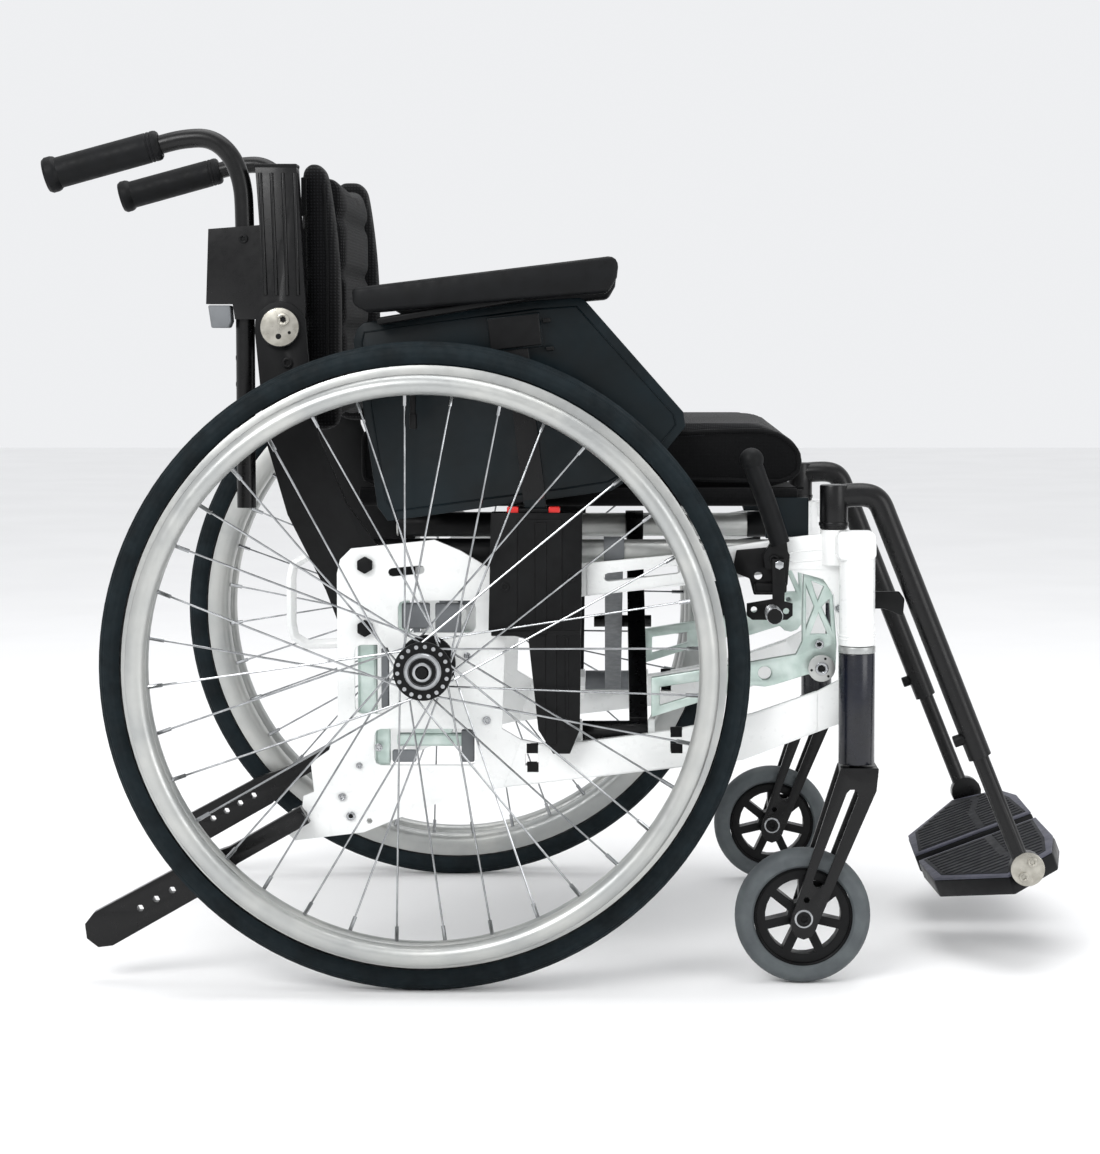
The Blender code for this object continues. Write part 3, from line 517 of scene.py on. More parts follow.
def hubPieces():
    flanges = []
    for out in (-1, 1):
        edge = [(0.0165, 0.0258), (0.0255, 0.0260), (0.0264, 0.0268), (0.0264, 0.0312), (0.0255, 0.0320),
                (0.0165, 0.0322)]
        flanges.append(ring("flange", [(r, out * s) for r, s in edge], (0, 0, 0), 48))
    body = ring("barrel",
                [(0.0002, -0.0330), (0.0150, -0.0330), (0.0150, -0.0260), (0.0118, -0.0225), (0.0105, 0),
                           (0.0118, 0.0225), (0.0150, 0.0260), (0.0168, 0.0330), (0.0002, 0.0330)],
                (0, 0, 0), 40)
    cup = ring("cup",
               [(0.0118, 0.0328), (0.0162, 0.0328), (0.0164, 0.0356), (0.0156, 0.0364), (0.0132, 0.0364),
                       (0.0126, 0.0350), (0.0118, 0.0350)], (0, 0, 0), 40)
    seal = disc("seal", 0.0124, 0.0330, 0.0360)
    nut = ring("nut",
               [(0.0052, 0.0360), (0.0086, 0.0360), (0.0088, 0.0392), (0.0080, 0.0402), (0.0062, 0.0402),
                       (0.0056, 0.0390)], (0, 0, 0), 32)
    button = disc("button", 0.0050, 0.0360, 0.0438, 0.0012)
    pin = bar("pin", (0, -0.0330, 0), (0, -0.0745, 0), 0.0062, 24, 0.0008)
    return joinAll(flanges, "flanges"), joinAll([body, cup, nut, pin], "hubMetal"), joinAll([seal, button],
                                                                                            "hubBlack")


tyre, rim, push = wheelPieces(wheelSet)
spokes, spokeEnds = spokePieces(wheelSet)
flanges, hubMetal, hubBlack = hubPieces()
valve = bar("valve", (-0.010, 0, 0.2515), (-0.0098, 0, 0.2190), 0.0027, 14, 0.0006)
valveCap = bar("valveCap", (-0.0099, 0, 0.2300), (-0.0096, 0, 0.2160), 0.0035, 12, 0.0008)
wheelMasters = [(tyre, "tyre", "tyre_rubber", "rear_tyre"),
                (rim, "satinAluminium", "silver_anodised", "rear_rim"),
                (push, "satinAluminium", "silver_anodised", "push_rim"),
                (spokes, "steel", "stainless_steel", "wheel_hub"),
                (spokeEnds, "steel", "stainless_steel", None),
                (flanges, "blackPressing", "stainless_steel", None),
                (hubMetal, "steel", "stainless_steel", None), (hubBlack, "nylon", "black_nylon", None),
                (valve, "blackPressing", "black_nylon", None), (valveCap, "nylon", "black_nylon", None)]
for side, out in sides.items():
    for master, look, slot, stands in wheelMasters:
        piece = master.copy()
        piece.data = master.data.copy()
        bpy.context.scene.collection.objects.link(piece)
        placeHub(piece, out)
        dress(piece, looks[look], f"wheel_{side}", f"{master.name}_{side}_wheel")
        if stands:
            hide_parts(f"{stands}_{side}")
for entry in wheelMasters:
    bpy.data.objects.remove(entry[0])
print("rear wheels built")


# casters
casterSet = {"radius": 0.0625, "core": 0.0455, "half": 0.0122, "steps": 72}


def casterTyre(cs, centre):
    section = []
    for i in range(17):
        turn = math.radians(90 - 180 * i / 16)
        section.append((cs["radius"] - 0.0085 + 0.0085 * math.cos(turn), cs["half"] * math.sin(turn)))
    section += [(cs["core"] + 0.002, -cs["half"] + 0.0002), (cs["core"], -cs["half"] + 0.002),
                (cs["core"], cs["half"] - 0.002), (cs["core"] + 0.002, cs["half"] - 0.0002)]
    return ring("casterTyre", section, centre, cs["steps"])


def screwHead(name, centre, radius, out, tall=0.0024, sides=24):
    start = Vector(centre)
    head = bar(name, start, start + Vector((0, out * tall, 0)), radius, sides, tall * 0.3)
    well = bar("well", start + Vector((0, out * tall * 0.35, 0)), start + Vector((0, out * tall * 1.4, 0)),
               radius * 0.5, 6)
    cutter = head.modifiers.new("socket", "BOOLEAN")
    cutter.operation, cutter.object, cutter.solver = "DIFFERENCE", well, "EXACT"
    applyAll(head)
    bpy.data.objects.remove(well)
    return head


for side, out in sides.items():
    low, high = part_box(f"caster_tyre_{side}")
    centre = Vector([(a + b) / 2 for a, b in zip(low, high)])
    soft = casterTyre(casterSet, centre)
    dress(soft, looks["casterTyre"], f"caster_wheel_{side}", f"casterTyre_{side}")
    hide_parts(f"caster_tyre_{side}")
    polished(f"caster_rim_{side}", looks["nylon"], f"caster_wheel_{side}", 0.0011, 2)
    lips = []
    for face in (-1, 1):
        lip = [(0.0432, 0.0086), (0.0452, 0.0086), (0.0452, 0.0104), (0.0444, 0.0112), (0.0434, 0.0104)]
        lips.append(ring("lip", [(r, face * s) for r, s in lip], centre, 64))
        lip = [(0.0082, 0.0086), (0.0122, 0.0086), (0.0118, 0.0112), (0.0088, 0.0118)]
        lips.append(ring("lip", [(r, face * s) for r, s in lip], centre, 40))
    dress(joinAll(lips, "lips"), looks["nylon"], f"caster_wheel_{side}", f"casterLips_{side}")
    polished(f"caster_fork_{side}", looks["blackFrame"], f"caster_fork_{side}", 0.0013,
             3)
    bolts = [screwHead("bolt", centre + Vector((0, face * 0.0186, -0.0003)), 0.0068, face, 0.0030)
             for face in (-1, 1)]
    dress(joinAll(bolts, "bolts"), looks["blackPressing"], f"caster_fork_{side}",
          f"forkBolts_{side}")
    washers = [bar("washer", centre + Vector((0, face * 0.0182, -0.0003)),
                   centre + Vector((0, face * 0.0190, -0.0003)),
                   0.0085, 28, 0.0002) for face in (-1, 1)]
    dress(joinAll(washers, "washers"), looks["steel"], f"caster_fork_{side}",
          f"forkWashers_{side}")

    low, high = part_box(f"caster_housing_{side}")
    stemX, stemY = (low[0] + high[0]) / 2, (low[1] + high[1]) / 2
    foot, brim = low[2], high[2]
    column = bar("column", (stemX, stemY, foot + 0.0002), (stemX, stemY, brim - 0.0066), 0.0165, 48, 0.0008)
    socket = bar("socket", (stemX, stemY, foot - 0.01), (stemX, stemY, foot + 0.0355), 0.0072, 24)
    bore = column.modifiers.new("bore", "BOOLEAN")
    bore.operation, bore.object, bore.solver = "DIFFERENCE", socket, "EXACT"
    applyAll(column)
    bpy.data.objects.remove(socket)
    bpy.ops.object.shade_smooth_by_angle(angle=math.radians(40))
    dress(column, looks["navy"], f"frame_{side}", f"casterColumn_{side}")
    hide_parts(f"caster_housing_{side}")
    collar = bar("collar", (stemX, stemY, brim - 0.0064), (stemX, stemY, brim - 0.0002), 0.0170, 48, 0.0007)
    dress(collar, looks["satinAluminium"], f"frame_{side}", f"casterCollar_{side}")
    rings = []
    for height in (0.0060, 0.0092):
        rings.append(bar("ring", (stemX, stemY, brim + height), (stemX, stemY, brim + height + 0.0018),
                         0.0170, 48, 0.0004))
    dress(joinAll(rings, "rings"), looks["whiteFrame"], f"frame_{side}",
          f"castingRings_{side}")
print("casters built")


# seat cushion
cushionSet = {"voxel": 0.006, "pressure": 3.5, "cap": 0.006, "noseTop": 0.046, "noseFoot": 0.024,
              "rear": 0.010, "cordRadius": 0.0024}
seatLow, seatHigh = [Vector(v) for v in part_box("seat_cushion")]


# a foam block blown out a little by cloth pressure, each point held to a short travel
def stuffed(obj, settings):
    pick(obj)
    obj.data.remesh_voxel_size = settings["voxel"]
    bpy.ops.object.voxel_remesh()
    start = [vertex.co.copy() for vertex in obj.data.vertices]
    cloth = obj.modifiers.new("cloth", "CLOTH")
    cloth.settings.use_pressure = True
    cloth.settings.uniform_pressure_force = settings["pressure"]
    cloth.settings.effector_weights.gravity = 0
    cloth.settings.tension_stiffness = cloth.settings.compression_stiffness = 25
    cloth.settings.bending_stiffness = 4
    cloth.settings.quality = 4
    cloth.point_cache.frame_start, cloth.point_cache.frame_end = 1, 14
    for frameNumber in range(1, 15):
        bpy.context.scene.frame_set(frameNumber)
    applyAll(obj)
    bpy.context.scene.frame_set(1)
    for vertex, home in zip(obj.data.vertices, start):
        travel = vertex.co - home
        if travel.length > settings["cap"]:
            vertex.co = home + travel.normalized() * settings["cap"]
    smooth = obj.modifiers.new("soften", "SMOOTH")
    smooth.factor, smooth.iterations = 0.5, 3
    subdivide = obj.modifiers.new("fine", "SUBSURF")
    subdivide.levels = 1
    applyAll(obj)
    pick(obj)
    bpy.ops.object.shade_smooth()
    return obj


# the box cushion sits on the sling, whose hem wraps the two seat rails
slingTop = seatLow.z + 0.0090
def nosedProfile(low, high, settings, steps=10):
    tall = high.z - low.z
    upper, lower, rear = 0.64 * tall, 0.36 * tall, settings["rear"]
    arcs = ((high.x - settings["noseTop"], high.z - upper, settings["noseTop"], upper, 0),
            (low.x + rear, high.z - rear, rear, rear, 90), (low.x + rear, low.z + rear, rear, rear, 180),
            (high.x - settings["noseFoot"], low.z + lower, settings["noseFoot"], lower, 270))
    outline = []
    for centreX, centreZ, long, high2, turn in arcs:
        for i in range(steps + 1):
            angle = math.radians(turn + 90 * i / steps)
            point = (centreX + long * math.cos(angle), centreZ + high2 * math.sin(angle))
            if not outline or math.dist(point, outline[-1]) > 0.0005:
                outline.append(point)
    return outline if math.dist(outline[0], outline[-1]) > 0.0005 else outline[:-1]


def extrudedAcross(name, outline, y0, y1):
    count = len(outline)
    verts = [(x, y, z) for y in (y0, y1) for x, z in outline]
    faces = [(i, (i + 1) % count, count + (i + 1) % count, count + i) for i in range(count)]
    faces += [tuple(range(count)), tuple(range(2 * count - 1, count - 1, -1))]
    mesh = bpy.data.meshes.new(name)
    mesh.from_pydata(verts, [], faces)
    obj = bpy.data.objects.new(name, mesh)
    bpy.context.scene.collection.objects.link(obj)
    return tidyMesh(obj, 40)


cushionLow = Vector((seatLow.x + 0.003, seatLow.y + 0.004, slingTop + 0.0035))
cushionHigh = Vector((seatHigh.x - 0.003, seatHigh.y - 0.004, seatHigh.z - 0.003))
noseOutline = nosedProfile(cushionLow, cushionHigh, cushionSet)
seat = easeEdges(extrudedAcross("cushion", noseOutline, cushionLow.y, cushionHigh.y), 0.008, 3, 50)
stuffed(seat, cushionSet)


# crown the top and hollow it for the thighs
def crown(obj, low, high, lift):
    middle, half = (low + high) / 2, (high - low) / 2
    for vertex in obj.data.vertices:
        up = max(0.0, (vertex.co.z - middle.z) / half.z)
        across = min(1.0, abs(vertex.co.y - middle.y) / half.y)
        along = (vertex.co.x - low.x) / (high.x - low.x)
        hollow = max(0.0, 1 - abs(along - 0.42) / 0.4) * (1 - across ** 2)
        vertex.co.z += up * lift * ((1 - across ** 4) * (1 - abs(2 * along - 1) ** 6) - 0.9 * hollow)


crown(seat, seatLow, seatHigh, 0.004)
for vertex in seat.data.vertices:
    vertex.co.z = min(vertex.co.z, seatHigh.z + 0.0015)
seat.data.materials.clear()
seat.data.materials.append(looks["coverTop"])
seat.data.materials.append(looks["coverSide"])
for face in seat.data.polygons:
    face.material_index = 0 if face.normal.z > 0.45 else 1
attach(seat, "seat_rail_right")
seat.name = "seatCushion"


def closedCord(name, points, radius, sides=8):
    curve = bpy.data.curves.new(name, "CURVE")
    curve.dimensions, curve.bevel_depth, curve.bevel_resolution = "3D", radius, sides // 2 - 2
    spline = curve.splines.new("POLY")
    spline.points.add(len(points) - 1)
    for point, place in zip(spline.points, points):
        point.co = (*place, 1)
    spline.use_cyclic_u = True
    cordObject = bpy.data.objects.new(name, curve)
    bpy.context.scene.collection.objects.link(cordObject)
    pick(cordObject)
    bpy.ops.object.convert(target="MESH")
    return tidyMesh(bpy.context.object, 60)


# pulls each point of an outline onto the cushion, so that piping lies on the cloth
def laidOn(points, obj, lift):
    laid = []
    for point in points:
        found, place, normal, number = obj.closest_point_on_mesh(point)
        laid.append(place + normal * lift)
    return laid


# piping follows the outline of each side face
cords = []
for edgeY in (cushionLow.y, cushionHigh.y):
    path = [Vector((x, edgeY, z)) for x, z in noseOutline]
    dense = []
    for a, b in zip(path, path[1:] + path[:1]):
        count = max(1, round((b - a).length / 0.012))
        dense += [a.lerp(b, i / count) for i in range(count)]
    cords.append(closedCord("piping", laidOn(dense, seat, 0.0006), cushionSet["cordRadius"]))
piping = joinAll(cords, "cushionPiping")
dress(piping, looks["webbing"], "seat_rail_right", "cushionPiping")


# sling: a cloth strip hung between the rails, with hems round them
slingSet = {"sag": 0.007, "hemRadius": 0.0085, "thick": 0.0022}


def slingSheet(settings):
    halfY = seatHigh.y - settings["hemRadius"] - 0.001
    verts, faces, rows, columns = [], [], 28, 40
    for i in range(rows + 1):
        x = seatLow.x + 0.004 + (seatHigh.x - seatLow.x - 0.008) * i / rows
        for j in range(columns + 1):
            t = 2 * j / columns - 1
            verts.append((x, halfY * t, slingTop - 0.001 - settings["sag"] * (1 - t * t)))
    for i in range(rows):
        for j in range(columns):
            a = i * (columns + 1) + j
            faces.append((a, a + 1, a + columns + 2, a + columns + 1))
    mesh = bpy.data.meshes.new("sling")
    mesh.from_pydata(verts, [], faces)
    cloth = bpy.data.objects.new("sling", mesh)
    bpy.context.scene.collection.objects.link(cloth)
    solid = cloth.modifiers.new("cloth", "SOLIDIFY")
    solid.thickness, solid.offset = settings["thick"], -1
    applyAll(cloth)
    return tidyMesh(cloth, 40)


sling = slingSheet(slingSet)
dress(sling, looks["coverSide"], "seat_rail_right", "seatSling")
hems = []
for out in (-1, 1):
    y = out * (seatHigh.y - slingSet["hemRadius"] - 0.0005)
    hem = bar("hem", (seatLow.x + 0.003, y, slingTop - 0.0080), (seatHigh.x - 0.010, y, slingTop - 0.0080),
              slingSet["hemRadius"], 28, 0.0015)
    hems.append(hem)
hemPair = joinAll(hems, "slingHems")
dress(hemPair, looks["coverSide"], "seat_rail_right", "slingHems")
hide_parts("seat_cushion")
for piece in (seat, piping, sling, hemPair):
    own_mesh(piece)
print("cushion built")


# backrest
backSet = {"voxel": 0.006, "pressure": 3.0, "cap": 0.006, "bolster": 0.052}
backLow, backHigh = [Vector(v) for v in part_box("back_upholstery")]


def roundedPad(name, low, high, edge, segments=4):
    clearSelection()
    bpy.ops.mesh.primitive_cube_add(size=1, location=(low + high) / 2)
    pad = bpy.context.object
    pad.name = name
    pad.scale = high - low
    settle(pad)
    return easeEdges(pad, edge, segments, 50)


# a pad given from the axle for the left side, and mirrored for the right
def sidePad(name, out, xs, ys, zs, edge, segments=4):
    low = Vector((axleX + xs[0], min(out * ys[0], out * ys[1]), zs[0]))
    high = Vector((axleX + xs[1], max(out * ys[0], out * ys[1]), zs[1]))
    return roundedPad(name, low, high, edge, segments)


backPieces = []
# two upright bolsters, the left one standing a little further forward, and a flatter middle between them
for side, out in sides.items():
    outer, inner = out * (backHigh.y - 0.003), out * (backHigh.y - backSet["bolster"])
    forward = backHigh.x - (0.0035 if side == "left" else 0.0135)
    bolster = roundedPad(f"backBolster_{side}",
                         Vector((backLow.x - 0.001, min(outer, inner), backLow.z + 0.006)),
                         Vector((forward, max(outer, inner), backHigh.z - 0.003)), 0.0135)
    stuffed(bolster, backSet)
    # the upper half curves back, away from the shoulders
    for vertex in bolster.data.vertices:
        high = max(0.0, (vertex.co.z - backLow.z) / (backHigh.z - backLow.z) - 0.45) / 0.55
        ahead = (vertex.co.x - backLow.x) / (forward - backLow.x)
        vertex.co.x -= 0.013 * ahead * high ** 2
    dress(bolster, looks["sideMesh"], "back_right")
    backPieces.append(bolster)
middlePad = roundedPad("backMiddle",
                       Vector((backLow.x + 0.006, -backHigh.y + backSet["bolster"] - 0.006,
                               backLow.z + 0.012)),
                       Vector((backHigh.x - 0.017, backHigh.y - backSet["bolster"] + 0.006,
                               backHigh.z - 0.012)), 0.010)
stuffed(middlePad, backSet)
dress(middlePad, looks["mesh"], "back_right")
backPieces.append(middlePad)


# cross seams quilt the middle into five bands
def quilt(obj, low, high, bands, depth, width):
    for vertex in obj.data.vertices:
        if vertex.co.x < (low.x + high.x) / 2:
            continue
        for number in range(1, bands):
            seam = low.z + (high.z - low.z) * number / bands
            near = (vertex.co.z - seam) / width
            vertex.co.x -= depth * math.exp(-near * near)


quilt(middlePad, backLow, backHigh, 5, 0.0035, 0.006)
seams = []
for side, out in sides.items():
    forward = backHigh.x - (0.0035 if side == "left" else 0.0135)
    bolster = bpy.data.objects[f"backBolster_{side}"]
    edge = [Vector((forward - 0.009, out * backHigh.y, z)) for z in
            [backLow.z + 0.022 + (backHigh.z - backLow.z - 0.044) * i / 40 for i in range(41)]]
    seams.append(pipe("seam", laidOn(edge, bolster, 0.0004), 0.0014, 8, 1))
seamPair = joinAll(seams, "backSeams")
dress(seamPair, looks["webbing"], "back_right", "backSeams")
backPieces.append(seamPair)

# tension straps run across behind the pad, with a buckle on each
strapSet = {"count": 5, "wide": 0.036, "thick": 0.0018}
straps, buckles = [], []
for number in range(strapSet["count"]):
    height = backLow.z + 0.034 + number * (backHigh.z - backLow.z - 0.068) / (strapSet["count"] - 1)
    straps.append(roundedPad("strap",
                             Vector((backLow.x - 0.0005, -backHigh.y + 0.002, height - strapSet["wide"] / 2)),
                             Vector((backLow.x + 0.0045, backHigh.y - 0.002, height + strapSet["wide"] / 2)),
                             0.0008, 1))
    offset = 0.06 if number % 2 else -0.06
    buckles.append(roundedPad("buckle", Vector((backLow.x - 0.0065, offset - 0.016, height - 0.021)),
                              Vector((backLow.x - 0.0010, offset + 0.016, height + 0.021)), 0.0016, 2))
strapSheet = joinAll(straps, "backStraps")
dress(strapSheet, looks["webbing"], "back_right", "backStraps")
buckleSet = joinAll(buckles, "backBuckles")
dress(buckleSet, looks["nylon"], "back_right", "backBuckles")
backPieces += [strapSheet, buckleSet]
for piece in backPieces:
    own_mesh(piece)
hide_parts("back_upholstery")
print("backrest built")

# canes, push handles and grips
for side, out in sides.items():
    back = f"back_{side}"
    polished(f"back_cane_{side}", looks["blackFrame"], back, 0.0012, 2)
    low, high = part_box(f"back_cane_{side}")
    pivotX, pivotZ = axleX - 0.1354, 0.6027
    face = out * 0.2130
    # raised ribs leave three long grooves down the outer face of the cane
    ribs = []
    for number in range(4):
        foot = Vector((pivotX + 0.0160 - number * 0.0100, face, 0.632))
        head = Vector((axleX - 0.1225 - number * 0.0105, face, 0.7445))
        rib = bar("rib", foot, head, 0.0019, 10, 0.0006)
        ribs.append(rib)
    dress(joinAll(ribs, "ribs"), looks["blackFrame"], back, f"caneRibs_{side}")
    cap = sidePad("cap", out, (-0.1590, -0.1200), (0.1895, 0.2135), (0.7490, 0.7528), 0.0012, 2)
    dress(cap, looks["nylon"], back, f"caneCap_{side}")
    plate = bar("disc", (pivotX, out * 0.2254, pivotZ), (pivotX, out * 0.2262, pivotZ), 0.0176, 56, 0.0003)
    dress(plate, looks["machined"], back, f"reclineDisc_{side}")
    screws = [screwHead("screw", (pivotX + 0.0035, out * 0.2260, pivotZ + 0.0070), 0.0058, out, 0.0030)]
    dress(joinAll(screws, "screws"), looks["machined"], back, f"reclineScrew_{side}")
    # a dark hex on the floor of the screw's socket is painted shade; two small dark discs sit on the disc
    # face
    marks = [bar("mark", (pivotX + 0.0035, out * 0.2275, pivotZ + 0.0070),
                 (pivotX + 0.0035, out * 0.2277, pivotZ + 0.0070),
                 0.0031, 6),
             bar("mark", (pivotX - 0.0010, out * 0.2258, pivotZ - 0.0085),
                 (pivotX - 0.0010, out * 0.2266, pivotZ - 0.0085),
                 0.0026, 20), bar("mark", (pivotX + 0.0090, out * 0.2258, pivotZ - 0.0050),
                                  (pivotX + 0.0090, out * 0.2266, pivotZ - 0.0050), 0.0015, 16)]
    dress(joinAll(marks, "marks"), looks["blackPressing"], back, f"reclineMarks_{side}")

    tubeX, tubeY = axleX - 0.170, out * 0.200
    gripStart, gripEnd = fromAxle(-0.248, tubeY, 0.771), fromAxle(-0.3537, tubeY, 0.742)
    along = (gripEnd - gripStart).normalized()
    path = [(tubeX, tubeY, 0.4355), (tubeX, tubeY, 0.55), (tubeX, tubeY, 0.66), (tubeX, tubeY, 0.705),
            (tubeX - 0.0015, tubeY, 0.736), (tubeX - 0.012, tubeY, 0.7625), (tubeX - 0.031, tubeY, 0.7775),
            (tubeX - 0.056, tubeY, 0.7765), gripStart, gripStart + along * 0.099]
    handle = pipe(f"handleTube_{side}", path, 0.0088, 24, 10)
    dress(handle, looks["blackFrame"], f"handle_{side}")
    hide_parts(f"handle_tube_{side}")
    dimples = [bar("dimple", (tubeX - 0.0078, tubeY, 0.452 + 0.0245 * i),
                   (tubeX - 0.0089, tubeY, 0.452 + 0.0245 * i),
                   0.0026, 16, 0.0003) for i in range(6)]
    dress(joinAll(dimples, "dimples"), looks["blackPressing"], f"handle_{side}",
          f"handleDimples_{side}")

    # grip: two fine channels at the collar, a plain soft barrel and a flared end
    profile = [(0.0093, -0.0005), (0.0120, -0.0005), (0.0136, 0.0010), (0.0142, 0.0030)]
    for z in (0.0060, 0.0095):
        profile += [(0.0142, z), (0.0137, z + 0.0006), (0.0137, z + 0.0012), (0.0142, z + 0.0018)]
    profile += [(0.0144, 0.0965), (0.0160, 0.0985), (0.0168, 0.1010), (0.0168, 0.1062), (0.0150, 0.1090),
                (0.0060, 0.1100), (0.0002, 0.1100), (0.0002, 0.1022), (0.0093, 0.1022)]
    grip = ring("grip", profile, (0, 0, 0), 48)
    turn = Vector((0, 1, 0)).rotation_difference(along).to_matrix().to_4x4()
    grip.data.transform(Matrix.Translation(gripStart) @ turn)
    dress(grip, looks["grip"], f"handle_{side}", f"handleGrip_{side}")
    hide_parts(f"handle_grip_{side}")
    polished(f"handle_clamp_{side}", looks["greyPaintAndShade"], f"handle_clamp_{side}",
             0.0014, 3)
    screw = screwHead("boxScrew", fromAxle(-0.170, out * 0.2128, 0.684), 0.0042, out, 0.0016)
    dress(screw, looks["blackPressing"], back, f"clampScrew_{side}")
    lowScrew = screwHead("lowScrew", fromAxle(-0.1290, out * 0.2192, 0.5700), 0.0050, out, 0.0024)
    dress(lowScrew, looks["blackPressing"], f"frame_{side}", f"bracketScrew_{side}")
print("handles built")


# armrests and side panels
lean = math.radians(6.6)
for side, out in sides.items():
    arm = f"armrest_{side}"
    pad = polished(f"armrest_pad_{side}", looks["grip"], arm, 0.0032, 3, 30)
    # a shallow tray carries the pad on the post
    trayY = out * 0.238
    tray = roundedPad("tray", Vector((-0.100, -0.019, -0.0035)), Vector((0.100, 0.019, 0.0035)), 0.0022, 3)
    tray.rotation_euler = (0, -math.radians(9.4), 0)
    tray.location = fromAxle(0.055, trayY, 0.6240)
    settle(tray)
    dress(tray, looks["nylon"], arm, f"armrestTray_{side}")

    polished(f"side_panel_{side}", looks["panel"], arm, 0.0014, 3)
    # an inset line follows the panel's edge a few millimetres in
    face = out * 0.2345
    outline = [(-0.057, 0.598), (0.0996, 0.6190), (0.137, 0.6215), (0.226, 0.523), (0.228, 0.5135),
               (0.214, 0.496),
               (0.178, 0.468), (0.166, 0.461), (0.123, 0.4545), (0.072, 0.4480), (-0.031, 0.434),
               (-0.038, 0.444),
               (-0.0455, 0.494), (-0.0595, 0.588)]
    line = closedCord("line", [fromAxle(x, face, z) for x, z in outline], 0.0009, 6)
    dress(line, looks["panel"], arm, f"panelLine_{side}")
    # the clip that holds the panel to the post, with its two catches
    def onPost(x, y, z):
        return fromAxle(0.0998 + x * math.cos(lean) - z * math.sin(lean), out * (0.237 + y),
                        0.4335 + x * math.sin(lean) + z * math.cos(lean))

    def postBlock(name, x0, x1, y0, y1, z0, z1, edge):
        block = roundedPad(name, Vector((x0, min(out * y0, out * y1), z0)),
                           Vector((x1, max(out * y0, out * y1), z1)), edge, 2)
        block.rotation_euler = (0, -lean, 0)
        block.location = onPost(0, 0, 0)
        return settle(block)

    blocks = [postBlock("clip", -0.0235, 0.0235, 0.0078, 0.0098, 0.1515, 0.1800, 0.0009),
              postBlock("catch", 0.0265, 0.0340, 0.0005, 0.0060, 0.1450, 0.1490, 0.0008),
              postBlock("catch", 0.0265, 0.0340, 0.0005, 0.0060, 0.1710, 0.1750, 0.0008)]
    dress(joinAll(blocks, "clip"), looks["nylon"], arm, f"panelClip_{side}")
    postFace = postBlock("post", -0.0102, 0.0102, 0.0040, 0.0047, 0.012, 0.150, 0.0003)
    dress(postFace, looks["blackFrame"], arm, f"armrestPost_{side}")

    socketBody = f"frame_{side}"
    polished(f"armrest_socket_{side}", looks["nylon"], socketBody, 0.0022, 3)
    # the ribs stop below where the pressed button comes down to
    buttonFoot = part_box(f"armrest_release_{side}")[0][2]
    details = [roundedPad("spine", Vector((axleX + x0, min(out * 0.2460, out * y1), z0)),
                          Vector((axleX + x1, max(out * 0.2460, out * y1), min(z1, buttonFoot - 0.0040))),
                          0.0011, 2)
               for x0, x1, y1, z0,
               z1 in ((0.0830, 0.1240, 0.2490, 0.328, 0.4310), (0.0990, 0.1100, 0.2500, 0.322, 0.4250),
                                          (0.1085, 0.1190, 0.2486, 0.2200, 0.3230),
                      (0.1265, 0.1300, 0.2484, 0.2360, 0.3190))]
    details.append(sidePad("lip", out, (0.0590, 0.1410), (0.2440, 0.2484), (0.3205, 0.3255), 0.0010, 2))
    dress(joinAll(details, "details"), looks["nylon"], socketBody, f"socketSpine_{side}")
    screws = [screwHead("screw", fromAxle(x, out * 0.2474, z), 0.0042, out, 0.0014) for x,
              z in ((0.0715, 0.3655), (0.1325, 0.3740))]
    dress(joinAll(screws, "screws"), looks["blackPressing"], socketBody,
          f"socketScrews_{side}")
    press = f"armrest_release_{side}"
    low, high = [Vector(v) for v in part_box(press)]
    pads = [roundedPad("pad", Vector((x, low.y, low.z)), Vector((x + 0.0105, high.y, high.z)), 0.0012, 2)
            for x in (low.x, high.x - 0.0105)]
    buttons = joinAll(pads, "buttons")
    dress(buttons, looks["red"], press, f"releaseButtons_{side}")
    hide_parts(press)
    yoke = roundedPad("yoke", Vector((low.x + 0.0100, low.y + 0.002, low.z + 0.0008)),
                      Vector((high.x - 0.0100, high.y - 0.002, high.z - 0.0016)), 0.0009, 2)
    dress(yoke, looks["nylon"], press, f"releaseYoke_{side}")
print("armrests built")

